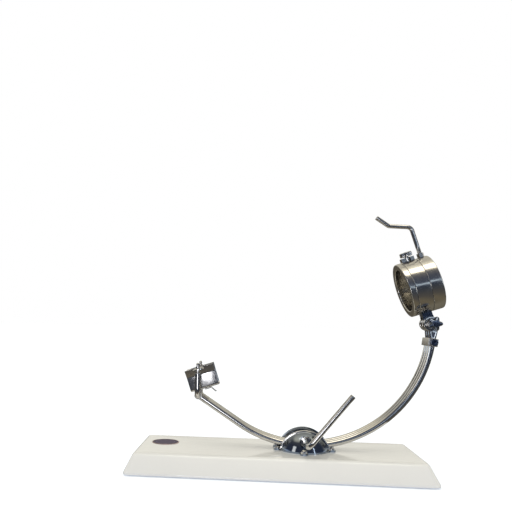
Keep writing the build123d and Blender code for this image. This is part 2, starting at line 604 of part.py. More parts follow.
# ---- head: the spool that turns with the ham ----
flange = ring(HEAD_BORE_R, HEAD_R, 0, FLANGE_T)
flange = chamfer(flange.edges().filter_by(GeomType.CIRCLE).group_by(SortBy.RADIUS)[-1], FLANGE_CHAMFER)
spool = ring(HEAD_BORE_R, SLEEVE_R, FLANGE_T, SPOOL_FROM) + ring(
    HEAD_BORE_R, HEAD_R, SPOOL_FROM, MOUTH_LEN
)
spool += ring(HEAD_INNER_R, HEAD_R, MOUTH_LEN, HEAD_LEN)
screw_ring_r = HEAD_BORE_R + SLEEVE_WALL / 2
flange_screws = []
for i in range(FLANGE_SCREWS):
    turn = Rot(0, 0, 360 / FLANGE_SCREWS * (i + 0.5))
    shank = turn * (Pos(screw_ring_r, 0, FLANGE_T) * Cylinder(FLANGE_SCREW_R, 2 * FLANGE_T))
    hole = turn * (Pos(screw_ring_r, 0, FLANGE_T) * Cylinder(FLANGE_SCREW_R + SEAT_GAP, 2 * FLANGE_T))
    pocket = turn * (
        Pos(screw_ring_r, 0, FLANGE_POCKET / 2) * Cylinder(FLANGE_HEAD_R + SEAT_GAP, FLANGE_POCKET)
    )
    head = turn * (
        Pos(screw_ring_r, 0, FLANGE_POCKET - FLANGE_HEAD_T / 2) * Cylinder(FLANGE_HEAD_R, FLANGE_HEAD_T)
    )
    slot = turn * (
        Pos(screw_ring_r, 0, FLANGE_SLOT[1] / 2) * Box(FLANGE_SLOT[0], 3 * FLANGE_HEAD_R, FLANGE_SLOT[1])
    )
    flange -= hole + pocket
    spool -= hole
    shank &= Pos(0, 0, (FLANGE_HEAD_T + FLANGE_SCREW_TO) / 2) * Cylinder(
        2 * HEAD_R, FLANGE_SCREW_TO - FLANGE_HEAD_T
    )
    flange_screws.append(HEAD * (shank + head - slot))
spool -= radial(CRANK_S, 0, 0, HEAD_R + 1, CRANK_R + RUN_GAP)
grip_points = []
cone_top = HEAD_INNER_R - GRIP_SHOULDER
for angle in GRIP_DEG:
    spool -= radial(CRANK_S, angle, GRIP_TIP, HEAD_R - GRIP_SKIN + SEAT_GAP, GRIP_R + SEAT_GAP)
    stud = radial(CRANK_S, 0, cone_top, HEAD_R - GRIP_SKIN, GRIP_R)
    cone = Pos((GRIP_TIP + cone_top) / 2, 0, CRANK_S) * Rot(0, 90, 0) * Cone(
        GRIP_POINT_R, GRIP_R, cone_top - GRIP_TIP
    )
    grip_points.append(HEAD * Rot(0, 0, angle) * (stud + cone))
parts["retaining_flange"] = HEAD * flange
parts["rotating_spool"] = HEAD * spool
parts["flange_screws"] = flange_screws
parts["grip_points"] = grip_points

nut = Pos(HEAD_R + CRANK_NUT_T / 2 - 1, 0, CRANK_S) * Rot(0, 90, 0) * extrude(
    Pos(0, 0, -CRANK_NUT_T / 2 - 1) * RegularPolygon(CRANK_NUT_AF / sqrt(3), 6), CRANK_NUT_T + 2
)
nut -= ring(0.5, HEAD_R + SEAT_GAP, 0, HEAD_LEN + FAR)
nut -= radial(CRANK_S, 0, 0, HEAD_R + FAR, CRANK_R + RUN_GAP)
parts["crank_nut"] = HEAD * nut

# ---- crank screw and its pad, drawn in the head's X-Z plane ----
crank_points = [
    (CRANK_INNER, 0, CRANK_S),
    (CRANK_RISE, 0, CRANK_S),
    (CRANK_ARM[1], 0, CRANK_ARM[0]),
    (CRANK_TIP[1], 0, CRANK_TIP[0]),
]
crank_path = FilletPolyline(*crank_points, radius=CRANK_BEND_R)
crank = sweep(
    Plane(origin=crank_points[0], z_dir=(1, 0, 0)) * Circle(CRANK_R), crank_path
)
crank = chamfer(crank.faces().sort_by(Axis.X)[-1].edges(), CRANK_CHAMFER)
parts["crank_screw"] = HEAD * crank
pad_top = CRANK_INNER - TURN_GAP
pad = radial(CRANK_S, 0, pad_top - PAD_T, pad_top, PAD_R)
pad = fillet(pad.edges().filter_by(GeomType.CIRCLE), PAD_EDGE_R)
pad += radial(CRANK_S, 0, pad_top - PAD_ROOT, pad_top + PAD_SOCKET, CRANK_R + PAD_WALL)
pad -= radial(CRANK_S, 0, pad_top, pad_top + PAD_SOCKET, CRANK_R + RUN_GAP)
parts["clamp_pad"] = HEAD * pad

# ---- thumb screw that locks the spool ----
stem_low = BUSH_OUT + THUMB_END_GAP
head_low = HEAD_R + BOSS_HEIGHT + THUMB_LIFT
thumb = radial(THUMB_S, 0, stem_low, head_low + 1, THUMB_R)
knurl = radial(THUMB_S, 0, head_low, head_low + THUMB_HEAD_T, THUMB_HUB * THUMB_HEAD_R)
lobe_at = THUMB_HEAD_R - THUMB_LOBE_R
for i in range(THUMB_LOBES):
    a = radians(360 / THUMB_LOBES * i)
    at = Pos(head_low + THUMB_HEAD_T / 2, lobe_at * sin(a), THUMB_S + lobe_at * cos(a))
    lobe = at * Rot(0, 90, 0) * Cylinder(THUMB_LOBE_R, THUMB_HEAD_T)
    knurl += lobe
thumb += knurl
tip_top = stem_low + THUMB_TIP_LEN
thumb -= radial(THUMB_S, 0, stem_low, tip_top + SEAT_PLAY, THUMB_TIP_R + RUN_GAP)
parts["thumb_screw"] = HEAD * thumb
parts["thumb_screw_tip"] = HEAD * radial(THUMB_S, 0, SLEEVE_R + THUMB_TIP_GAP, tip_top, THUMB_TIP_R)

# ---- fork and saddle ----
fork_path = FilletPolyline(
    (fork_x, -FORK_HALF, FORK_TOP),
    (fork_x, -FORK_HALF, FORK_BOTTOM),
    (fork_x, FORK_HALF, FORK_BOTTOM),
    (fork_x, FORK_HALF, FORK_TOP),
    radius=FORK_BEND_R,
)
fork = sweep(Plane(origin=(fork_x, -FORK_HALF, FORK_TOP), z_dir=(0, 0, -1)) * Circle(FORK_R), fork_path)
fork = chamfer(fork.edges().group_by(Axis.Z)[-1], FORK_CHAMFER)
tips, discs = [], []
for y in (-FORK_HALF, FORK_HALF):
    fork -= cyl_z(fork_x, y, FORK_TOP - TIP_SEAT, FORK_TOP, TIP_R + SEAT_GAP)
    tip = cyl_z(fork_x, y, FORK_TOP - TIP_SEAT + SEAT_PLAY, TIP_TOP - TIP_BALL_R, TIP_R)
    tip += Pos(fork_x, y, TIP_TOP - TIP_BALL_R) * Sphere(TIP_BALL_R)
    tips.append(tip)
    dish = Pos(0, 0, -DISH_R) * (Sphere(DISH_R) - Sphere(DISH_R - DISC_T))
    dish &= Cylinder(DISC_R, DISC_R)
    disc = Rot(0, -SADDLE_TILT, 0) * dish + Cylinder(DISC_HUB_R, DISC_HUB_T)
    discs.append(Pos(fork_x, y, DISC_Z) * (disc - Cylinder(TIP_R + SEAT_GAP, 2 * DISC_R)))
parts["fork"] = fork
parts["prong_tips"] = tips
parts["stop_discs"] = discs

sleeve_half = FORK_HALF - FORK_BEND_R - SLEEVE_END
tube = cyl_y(fork_x, FORK_BOTTOM, -sleeve_half, sleeve_half, SLEEVE_TUBE_R)
tongue_top = cyl_y(fork_x, SADDLE_PIN_Z, -TONGUE_HALF, TONGUE_HALF, PIN_R + TONGUE_WALL)
tongue = block(
    fork_x - TONGUE_WIDE, fork_x + TONGUE_WIDE, -TONGUE_HALF, TONGUE_HALF, FORK_BOTTOM, SADDLE_PIN_Z
)
carrier = tube + tongue + tongue_top
carrier -= cyl_y(fork_x, FORK_BOTTOM, -FAR, FAR, FORK_R + SEAT_GAP)
carrier -= cyl_y(fork_x, SADDLE_PIN_Z, -FAR, FAR, PIN_R + RUN_GAP)
parts["fork_carrier"] = carrier

inner = SADDLE_HALF - SADDLE_T
lip_in = LIP_OUT - SADDLE_T / cos(flare)
outline_out = FilletPolyline(
    (-LIP_OUT, SADDLE_TOP),
    (-SADDLE_HALF, LIP_START),
    (-SADDLE_HALF, -SADDLE_DROP),
    (SADDLE_HALF, -SADDLE_DROP),
    (SADDLE_HALF, LIP_START),
    (LIP_OUT, SADDLE_TOP),
    radius=FOLD_R,
)
outline_in = FilletPolyline(
    (lip_in, SADDLE_TOP),
    (inner, LIP_START + FOLD_EASE),
    (inner, -SADDLE_DROP + SADDLE_T),
    (-inner, -SADDLE_DROP + SADDLE_T),
    (-inner, LIP_START + FOLD_EASE),
    (-lip_in, SADDLE_TOP),
    radius=FOLD_IN_R,
)
edges = outline_out.edges() + outline_in.edges() + [
    Line((LIP_OUT, SADDLE_TOP), (lip_in, SADDLE_TOP)),
    Line((-lip_in, SADDLE_TOP), (-LIP_OUT, SADDLE_TOP)),
]
section = make_face(edges)
across = Plane(origin=(-SADDLE_LEFT, 0, 0), x_dir=(0, 1, 0), z_dir=(1, 0, 0))
saddle = extrude(across * section, SADDLE_LEFT + SADDLE_RIGHT)
slot_half = TONGUE_HALF + SLOT_GAP
saddle -= block(
    SLOT_FROM, SLOT_TO, -slot_half, slot_half, -SADDLE_DROP - SADDLE_T, -SADDLE_DROP + 2 * SADDLE_T
)
saddle -= cyl_y(0, 0, -FAR, FAR, PIN_R + SEAT_GAP)
parts["saddle"] = SADDLE * saddle
pin_half = SADDLE_HALF + PIN_COLLAR_T + PIN_SPARE
parts["saddle_pin"] = SADDLE * cyl_y(0, 0, -pin_half, pin_half, PIN_R)
parts["pin_collars"] = [
    SADDLE
    * (
        cyl_y(0, 0, *sorted((side * SADDLE_HALF, side * (SADDLE_HALF + PIN_COLLAR_T))), PIN_COLLAR_R)
        - cyl_y(0, 0, -FAR, FAR, PIN_R + SEAT_GAP)
    )
    for side in (-1, 1)
]
tail_z = -SADDLE_DROP - TAIL_R - SEAT_GAP
tail_path = FilletPolyline(
    (TAIL_FROM, TAIL_Y, tail_z),
    (TAIL_BEND, TAIL_Y, tail_z),
    (TAIL_BEND + TAIL_RUN, TAIL_Y, tail_z - TAIL_DROP),
    radius=TAIL_BEND_R,
)
tail = sweep(Plane(origin=(TAIL_FROM, TAIL_Y, tail_z), z_dir=(1, 0, 0)) * Circle(TAIL_R), tail_path)
parts["saddle_tail"] = SADDLE * tail

os.makedirs("parts", exist_ok=True)
for name, shape in parts.items():
    solids = shape if isinstance(shape, list) else [shape]
    flat = [s for item in solids for s in item.solids()]
    export_step(Compound(children=flat) if len(flat) > 1 else flat[0], f"parts/{name}.step")
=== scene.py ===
"""Looks of the ham holder stand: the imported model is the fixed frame, and these surfaces dress it.

Every piece is worked out in metres in the model's own frame, +X towards the shank ring, -Y towards the
clamp lever's side and +Z up, and rides on the body that it belongs to.
"""

from __future__ import annotations

import json
import logging
from dataclasses import dataclass, field
from enum import Enum
from math import atan2, cos, hypot, pi, radians, sin, sqrt
from typing import Any

import bmesh
import bpy
import numpy as np
from mathutils import Matrix, Vector

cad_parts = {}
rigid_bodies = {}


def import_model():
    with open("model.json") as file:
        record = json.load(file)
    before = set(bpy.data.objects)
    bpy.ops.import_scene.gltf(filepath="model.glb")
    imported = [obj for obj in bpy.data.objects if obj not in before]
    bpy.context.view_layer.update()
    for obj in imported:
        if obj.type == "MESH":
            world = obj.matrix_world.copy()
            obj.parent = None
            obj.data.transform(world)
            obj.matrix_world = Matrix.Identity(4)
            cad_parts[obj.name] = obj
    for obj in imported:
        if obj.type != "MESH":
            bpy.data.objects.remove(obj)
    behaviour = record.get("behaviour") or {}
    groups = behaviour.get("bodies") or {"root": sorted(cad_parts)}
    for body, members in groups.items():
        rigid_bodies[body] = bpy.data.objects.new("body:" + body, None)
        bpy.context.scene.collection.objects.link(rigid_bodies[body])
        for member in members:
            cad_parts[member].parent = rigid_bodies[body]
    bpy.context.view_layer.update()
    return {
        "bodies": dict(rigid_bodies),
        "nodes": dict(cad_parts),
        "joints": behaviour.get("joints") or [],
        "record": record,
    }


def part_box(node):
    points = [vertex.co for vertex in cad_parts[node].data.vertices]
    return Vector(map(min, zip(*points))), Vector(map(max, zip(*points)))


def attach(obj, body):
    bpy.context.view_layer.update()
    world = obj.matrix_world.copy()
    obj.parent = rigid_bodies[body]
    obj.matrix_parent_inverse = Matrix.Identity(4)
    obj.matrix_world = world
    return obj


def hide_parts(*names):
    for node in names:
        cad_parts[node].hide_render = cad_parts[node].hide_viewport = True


LOG = logging.getLogger("ham_stand")
MM = 0.001
TAU = 2 * pi
Y_AXIS = np.array([0.0, 1.0, 0.0])


class Coords(Enum):
    """Where a finish's pattern is laid: in the piece's own space, or along its surface."""

    OBJECT = "Object"
    SURFACE = "UV"


# ---- surfaces ----


def unit(v: np.ndarray) -> np.ndarray:
    """Returns v, or each row of v, at length one."""
    return v / np.linalg.norm(v, axis=-1, keepdims=True)


def build_mesh(name: str, patches: list[np.ndarray], smooth_deg: float = 32.0) -> bpy.types.Object:
    """Turns grids of points into one mesh object with its own UV map.

    Each grid is n rows of m points. Its rows and its columns close on themselves where the first and last
    agree, because equal points are merged. A point's UV is its place along the row's and column's length
    in metres, so a pattern keeps its scale over the surface.

    Args:
        name: the piece's name.
        patches: arrays of shape (n, m, 3).
        smooth_deg: edges sharper than this stay crisp.

    Returns:
        The object, at the origin, with faces outwards.
    """
    points, faces, uvs, start = [], [], [], 0
    for grid in patches:
        n, m, _ = grid.shape
        across = np.linalg.norm(np.diff(grid, axis=1), axis=2).max(0)
        along = np.linalg.norm(np.diff(grid, axis=0), axis=2).max(1)
        u = np.concatenate([[0.0], np.cumsum(across)])
        v = np.concatenate([[0.0], np.cumsum(along)])
        uv = np.stack(np.meshgrid(u, v), axis=-1)
        i, j = np.meshgrid(np.arange(n - 1), np.arange(m - 1), indexing="ij")
        a = (start + i * m + j).ravel()
        faces.append(np.stack([a, a + 1, a + m + 1, a + m], axis=1))
        points.append(grid.reshape(-1, 3))
        uvs.append(uv.reshape(-1, 2))
        start += n * m
    all_points, all_faces, all_uvs = np.concatenate(points), np.concatenate(faces), np.concatenate(uvs)
    mesh = bpy.data.meshes.new(name)
    mesh.from_pydata(all_points.tolist(), [], all_faces.tolist())
    layer = mesh.uv_layers.new(name="UVMap")
    layer.data.foreach_set("uv", all_uvs[all_faces.ravel()].astype(np.float32).ravel())
    piece = bpy.data.objects.new(name, mesh)
    bpy.context.scene.collection.objects.link(piece)
    tidy_surface(piece, smooth_deg)
    return piece


def tidy_surface(piece: bpy.types.Object, smooth_deg: float) -> None:
    """Merges equal points, turns the faces outwards and sets which edges stay crisp.

    Args:
        piece: the object to tidy, in place.
        smooth_deg: edges sharper than this stay crisp.
    """
    work = bmesh.new()
    work.from_mesh(piece.data)
    bmesh.ops.remove_doubles(work, verts=work.verts, dist=2e-6)
    bmesh.ops.dissolve_degenerate(work, edges=work.edges, dist=1e-7)
    bmesh.ops.recalc_face_normals(work, faces=work.faces)
    work.to_mesh(piece.data)
    work.free()
    piece.data.polygons.foreach_set("use_smooth", [True] * len(piece.data.polygons))
    piece.data.set_sharp_from_angle(angle=radians(smooth_deg))


def rounded_outline(corners: list[tuple[float, float, float]], steps: int = 6) -> np.ndarray:
    """A closed outline whose corners are arcs.

    Each corner is x, y and a radius. The arc starts and ends at radius times the tangent of half the turn
    from the corner, and its points follow the circle that touches both sides.

    Args:
        corners: x, y and radius of each corner, in order.
        steps: arc pieces at a corner.

    Returns:
        The outline's points, of shape (n, 2), the first repeated at the end.
    """
    spots = np.array([c[:2] for c in corners])
    before, after = np.roll(spots, 1, axis=0), np.roll(spots, -1, axis=0)
    points = []
    for (x, y, radius), a, b in zip(corners, before, after):
        here = np.array([x, y])
        if radius <= 0:
            points.append(here[None])
            continue
        into, out = unit(a - here), unit(b - here)
        half = np.arccos(np.clip(into @ out, -1, 1)) / 2
        middle = here + unit(into + out) * radius / sin(half)
        first, last = here + into * radius / np.tan(half), here + out * radius / np.tan(half)
        t0, t1 = atan2(*(first - middle)[::-1]), atan2(*(last - middle)[::-1])
        turn = (t1 - t0 + pi) % TAU - pi
        t = t0 + turn * np.linspace(0, 1, steps + 1)
        points.append(middle + radius * np.stack([np.cos(t), np.sin(t)], axis=1))
    line = np.concatenate(points)
    return np.concatenate([line, line[:1]])


def turned(outline: np.ndarray, centre: np.ndarray, axis: np.ndarray, segments: int = 128) -> np.ndarray:
    """A turned surface: the outline, as distance from the axis and place along it, carried round the axis.

    Args:
        outline: points of shape (n, 2), radius and place along the axis.
        centre: the axis's zero point.
        axis: the axis's direction, of length one.
        segments: steps round the turn.

    Returns:
        A grid of shape (segments + 1, n, 3).
    """
    side = unit(np.cross(axis, [0.0, 0.0, 1.0] if abs(axis[2]) < 0.9 else [1.0, 0.0, 0.0]))
    up = np.cross(side, axis)
    t = np.linspace(0, TAU, segments + 1)[:, None]
    ray = np.cos(t) * up + np.sin(t) * side
    return centre + ray[:, None, :] * outline[None, :, :1] + axis * outline[None, :, 1:]


def polar(shape: np.ndarray, outline: np.ndarray, centre: np.ndarray, axis: np.ndarray,
          up: np.ndarray) -> np.ndarray:
    """A lobed turned surface: the outline's radius is multiplied by the shape's value at each angle.

    Args:
        shape: one factor per angle, or an array of (angles, outline points).
        outline: points of shape (n, 2), radius and place along the axis.
        centre: the axis's zero point.
        axis: the axis's direction.
        up: the direction of the first angle.

    Returns:
        A grid of shape (angles, n, 3).
    """
    factors = shape if shape.ndim == 2 else shape[:, None] * np.ones(len(outline))
    t = np.linspace(0, TAU, len(factors))[:, None]
    ray = np.cos(t) * up + np.sin(t) * np.cross(axis, up)
    radius = factors * outline[None, :, 0]
    return centre + ray[:, None, :] * radius[:, :, None] + axis * outline[None, :, 1:]


def bent_path(corners: list[np.ndarray], radius: float, step: float) -> np.ndarray:
    """A path of straight runs joined by arcs of one radius, as points about a step apart.

    Args:
        corners: the path's corner points, ends included.
        radius: the arcs' radius.
        step: the greatest gap between two points.

    Returns:
        Points of shape (n, 3).
    """
    stops = [corners[0][None]]
    for a, here, b in zip(corners, corners[1:], corners[2:]):
        into, out = unit(a - here), unit(b - here)
        half = np.arccos(np.clip(into @ out, -1, 1)) / 2
        middle = here + unit(into + out) * radius / sin(half)
        first = here + into * radius / np.tan(half)
        e1 = unit(first - middle)
        e2 = -into
        t = np.linspace(0, pi - 2 * half, 10)[:, None]
        stops.append(middle + radius * (np.cos(t) * e1 + np.sin(t) * e2))
    stops.append(corners[-1][None])
    line = np.concatenate(stops)
    length = np.concatenate([[0.0], np.cumsum(np.linalg.norm(np.diff(line, axis=0), axis=1))])
    extra = np.linspace(0, length[-1], int(length[-1] / step) + 2)
    places = np.unique(np.concatenate([length, extra]).round(7))
    return np.stack([np.interp(places, length, line[:, k]) for k in range(3)], axis=1)


def bar(path: np.ndarray, flat: np.ndarray, wide: np.ndarray, thick: np.ndarray,
        power: np.ndarray | float = 2.0, segments: int = 40) -> np.ndarray:
    """A bar along a path that lies in a plane, its section a superellipse.

    A section's points are wide times cos to the power 2/p along the plane, and thick times sin to the
    power 2/p across it, so p of 2 is an ellipse and a larger p is a flatter bar.

    Args:
        path: points of shape (n, 3).
        flat: the plane's normal.
        wide: half width in the plane at each point.
        thick: half thickness across the plane at each point.
        power: p at each point, or one value.
        segments: steps round the section.

    Returns:
        A grid of shape (n, segments + 1, 3), its ends closed by shrinking the section to a point.
    """
    along = unit(np.gradient(path, axis=0))
    side = unit(np.cross(along, flat))
    t = np.linspace(0, TAU, segments + 1)
    p = np.broadcast_to(np.asarray(power, float), len(path))[:, None]
    c = np.sign(np.cos(t)) * np.abs(np.cos(t)) ** (2 / p)
    s = np.sign(np.sin(t)) * np.abs(np.sin(t)) ** (2 / p)
    in_plane = (wide[:, None] * c)[:, :, None] * side[:, None]
    across = (thick[:, None] * s)[:, :, None] * flat
    grid = path[:, None] + in_plane + across
    first, last = np.repeat(path[:1, None], segments + 1, 1), np.repeat(path[-1:, None], segments + 1, 1)
    return np.concatenate([first, grid, last])


def end_round(path: np.ndarray, radius: float, edge: float, start: bool = True, end: bool = True,
              steps: int = 6) -> tuple[np.ndarray, np.ndarray]:
    """Adds stations near a path's ends so that a bar gets a rounded rim there.

    The rim is a quarter circle of radius edge: at a distance d from the end, under edge, the bar's radius
    is radius - edge + sqrt(edge^2 - (edge - d)^2).

    Args:
        path: points of shape (n, 3).
        radius: the bar's radius.
        edge: the rim's radius.
        start: round the start.
        end: round the end.
        steps: stations in a rim.

    Returns:
        The path with its new points, and the radius at each.
    """
    length = np.concatenate([[0.0], np.cumsum(np.linalg.norm(np.diff(path, axis=0), axis=1))])
    near = edge * (1 - np.cos(np.linspace(0, pi / 2, steps)))
    places = [length]
    places += [near] if start else []
    places += [length[-1] - near] if end else []
    s = np.unique(np.concatenate(places).round(8))
    new = np.stack([np.interp(s, length, path[:, k]) for k in range(3)], axis=1)
    gap = np.full(len(s), edge)
    gap = np.minimum(gap, s) if start else gap
    gap = np.minimum(gap, length[-1] - s) if end else gap
    return new, radius - edge + np.sqrt(np.maximum(edge**2 - (edge - gap) ** 2, 0))


def slab(outline: np.ndarray, origin: np.ndarray, ex: np.ndarray, ey: np.ndarray, thick: float,
         edge: float, steps: int = 4) -> list[np.ndarray]:
    """A plate: a closed outline carried through its thickness, with rounded rims.

    At a depth d from a face, under edge, the outline is drawn in along its normals by
    edge - sqrt(edge^2 - (edge - d)^2). Each face is closed by drawing its rim to the middle.

    Args:
        outline: points of shape (n, 2), the first repeated at the end, seen from the far face.
        origin: the near face's place of outline point 0, 0.
        ex: direction of the outline's x.
        ey: direction of the outline's y.
        thick: the plate's thickness, along ex cross ey.
        edge: the rims' radius.
        steps: steps in a rim.

    Returns:
        One grid, as a list of one.
    """
    ez = np.cross(ex, ey)
    tangent = np.roll(outline[:-1], -1, axis=0) - np.roll(outline[:-1], 1, axis=0)
    normal = unit(np.stack([tangent[:, 1], -tangent[:, 0]], axis=1))
    middle = outline[:-1].mean(0)
    normal *= np.sign(((outline[:-1] - middle) * normal).sum())
    normal = np.concatenate([normal, normal[:1]])
    a = np.linspace(0, pi / 2, steps + 1)
    rim_in, rim_z = edge * (1 - np.sin(a)), edge * (1 - np.cos(a))
    inset = np.concatenate([rim_in, rim_in[::-1]])
    height = np.concatenate([rim_z, thick - rim_z[::-1]])
    flat = outline[None] - inset[:, None, None] * normal[None]
    hub = np.broadcast_to(middle, flat[:1].shape)
    flat = np.concatenate([hub, flat, hub])
    height = np.concatenate([[0.0], height, [thick]])
    return [origin + flat[..., :1] * ex + flat[..., 1:] * ey + height[:, None, None] * ez]


def arc(centre: tuple[float, float], radius: float, start: float, end: float, steps: int) -> np.ndarray:
    """Points on a circle from one angle to another, in radians."""
    t = np.linspace(start, end, steps + 1)
    return np.stack([centre[0] + radius * np.cos(t), centre[1] + radius * np.sin(t)], axis=1)


# ---- finishes ----


class Nodes:
    """A short way to write a material's node tree."""

    def __init__(self, name: str) -> None:
        """Starts a material of that name with an empty tree but for its shader."""
        self.material = bpy.data.materials.new(name)
        self.material.use_nodes = True
        self.tree = self.material.node_tree
        self.tree.nodes.clear()
        out = self.tree.nodes.new("ShaderNodeOutputMaterial")
        self.shader = self.tree.nodes.new("ShaderNodeBsdfPrincipled")
        self.tree.links.new(self.shader.outputs[0], out.inputs[0])

    def add(self, kind: str, inputs: dict[str, Any] | None = None, **settings: Any) -> bpy.types.Node:
        """Adds a node.

        Args:
            kind: the node's type, without "ShaderNode".
            inputs: socket name to a value, or to another node's output.
            settings: the node's own properties.

        Returns:
            The node.
        """
        node = self.tree.nodes.new("ShaderNode" + kind)
        for key, value in settings.items():
            setattr(node, key, value)
        for key, value in (inputs or {}).items():
            self.put(node.inputs[key], value)
        return node

    def put(self, socket: bpy.types.NodeSocket, value: Any) -> None:
        """Links an output to a socket, or sets the socket's own value."""
        if isinstance(value, bpy.types.NodeSocket):
            self.tree.links.new(value, socket)
        else:
            socket.default_value = value

    def math(self, operation: str, *values: Any) -> bpy.types.NodeSocket:
        """A Math node's output."""
        node = self.tree.nodes.new("ShaderNodeMath")
        node.operation = operation
        for socket, value in zip(node.inputs, values):
            self.put(socket, value)
        return node.outputs[0]

    def spread(self, value: Any, low: float, high: float, to_low: float,
               to_high: float) -> bpy.types.NodeSocket:
        """A value mapped from one range to another, held inside the second."""
        ends = {"From Min": low, "From Max": high, "To Min": to_low, "To Max": to_high}
        return self.add("MapRange", {"Value": value, **ends}).outputs["Result"]

    def where(self, coords: Coords, scale: tuple[float, float, float] = (1, 1, 1),
              turn: tuple[float, float, float] = (0, 0, 0)) -> bpy.types.NodeSocket:
        """Coordinates of a pattern, turned and scaled."""
        source = self.add("TexCoord").outputs[coords.value]
        node = self.add("Mapping", {"Vector": source, "Scale": scale, "Rotation": turn})
        return node.outputs[0]

    def noise(self, vector: Any, scale: float, detail: float = 3.0,
              rough: float = 0.55) -> bpy.types.NodeSocket:
        """A noise value between 0 and 1."""
        inputs = {"Vector": vector, "Scale": scale, "Detail": detail, "Roughness": rough}
        return self.add("TexNoise", inputs).outputs[0]

    def tint(self, factor: Any, dark: tuple[float, ...], light: tuple[float, ...]) -> bpy.types.NodeSocket:
        """A colour between two, by a factor."""
        node = self.add("Mix", {"Factor": factor}, data_type="RGBA")
        self.put(node.inputs[6], (*dark, 1.0))
        self.put(node.inputs[7], (*light, 1.0))
        return node.outputs[2]

    def bump(self, height: Any, distance: float, strength: float = 1.0) -> None:
        """Gives the shader a bump from a height."""
        node = self.add("Bump", {"Height": height, "Distance": distance, "Strength": strength})
        self.put(self.shader.inputs["Normal"], node.outputs[0])

    def shade(self, **values: Any) -> bpy.types.Material:
        """Sets the shader's sockets, spaces written as underscores, and returns the material."""
        for key, value in values.items():
            self.put(self.shader.inputs[key.replace("_", " ")], value)
        return self.material


@dataclass(frozen=True)
class Polish:
    """Bright steel: a clear reflection, with faint smears, fine hairlines and a little wear."""

    name: str
    dark: tuple[float, float, float]
    light: tuple[float, float, float]
    roughness: float
    smear: float = 0.07
    hairline: tuple[float, float, float] = (40.0, 900.0, 900.0)

    def make(self) -> bpy.types.Material:
        """Returns the material: smears and hairlines vary the roughness, and hairlines the bump."""
        n = Nodes(self.name)
        place = n.where(Coords.OBJECT)
        smears = n.noise(place, 45.0, 5.0, 0.6)
        lines = n.noise(n.where(Coords.OBJECT, self.hairline, (0.2, 0.35, 0.5)), 3.0, 2.0)
        speck = n.spread(n.noise(place, 900.0, 1.0), 0.68, 0.78, 0.0, 0.12)
        worn = n.spread(smears, 0.35, 0.75, self.roughness, self.roughness + self.smear)
        rough = n.math("ADD", worn, speck)
        rough = n.math("ADD", rough, n.spread(lines, 0.55, 0.8, 0.0, 0.08))
        n.bump(n.math("ADD", n.math("MULTIPLY", lines, 0.6), n.math("MULTIPLY", smears, 0.8)), 1e-5, 0.35)
        return n.shade(Base_Color=n.tint(smears, self.dark, self.light), Roughness=rough, Metallic=1.0)


@dataclass(frozen=True)
class TurnedSteel:
    """Steel left from the lathe: fine turning marks that run round the piece, and a brushed sheen."""

    name: str
    dark: tuple[float, float, float]
    light: tuple[float, float, float]
    roughness: float
    marks: float = 2600.0      # marks in a metre along the piece

    def make(self) -> bpy.types.Material:
        """Returns the material: noise stretched round the surface gives the marks their depth and gloss."""
        n = Nodes(self.name)
        place = n.where(Coords.SURFACE, (self.marks, 14.0, 1.0))
        marks = n.noise(place, 1.0, 4.0, 0.7)
        coarse = n.noise(n.where(Coords.SURFACE, (self.marks / 6, 5.0, 1.0)), 1.0, 2.0)
        cloud = n.noise(n.where(Coords.OBJECT), 30.0, 4.0)
        rough = n.math("ADD", n.spread(marks, 0.3, 0.7, self.roughness - 0.05, self.roughness + 0.1),
                       n.spread(cloud, 0.4, 0.8, 0.0, 0.08))
        n.bump(n.math("ADD", marks, coarse), 1.2e-5, 0.5)
        tone = n.math("ADD", n.math("MULTIPLY", marks, 0.6), n.math("MULTIPLY", cloud, 0.4))
        return n.shade(Base_Color=n.tint(tone, self.dark, self.light), Roughness=rough, Metallic=1.0)


@dataclass(frozen=True)
class Lacquer:
    """White gloss lacquer: a clear coat over paint that is a little uneven, with rubbed spots."""

    name: str
    dark: tuple[float, float, float]
    light: tuple[float, float, float]
    roughness: float

    def make(self) -> bpy.types.Material:
        """Returns the material: wide noise shifts the tone, and fine noise is the coat's orange peel."""
        n = Nodes(self.name)
        place = n.where(Coords.OBJECT)
        cloud = n.noise(place, 7.0, 4.0)
        peel = n.noise(place, 420.0, 2.0)
        rubs = n.noise(n.where(Coords.OBJECT, (6.0, 40.0, 40.0), (0, 0, 0.4)), 3.0, 4.0)
        n.bump(n.math("ADD", peel, n.math("MULTIPLY", cloud, 2.0)), 6e-6, 0.5)
        rough = n.spread(rubs, 0.45, 0.8, self.roughness, self.roughness + 0.1)
        return n.shade(Base_Color=n.tint(cloud, self.dark, self.light), Roughness=rough, IOR=1.48,
                       Coat_Weight=0.6, Coat_Roughness=0.06)


@dataclass(frozen=True)
class Moulded:
    """Plastic or rubber: a fine grain, and dust that lightens it a little."""

    name: str
    dark: tuple[float, float, float]
    light: tuple[float, float, float]
    roughness: float
    grain: float = 1800.0

    def make(self) -> bpy.types.Material:
        """Returns the material: fine noise is the grain, and wide noise the dust."""
        n = Nodes(self.name)
        place = n.where(Coords.OBJECT)
        grain, dust = n.noise(place, self.grain, 3.0), n.noise(place, 60.0, 4.0)
        n.bump(grain, 3e-5, 0.6)
        rough = n.spread(dust, 0.3, 0.7, self.roughness - 0.05, self.roughness + 0.08)
        return n.shade(Base_Color=n.tint(dust, self.dark, self.light), Roughness=rough)


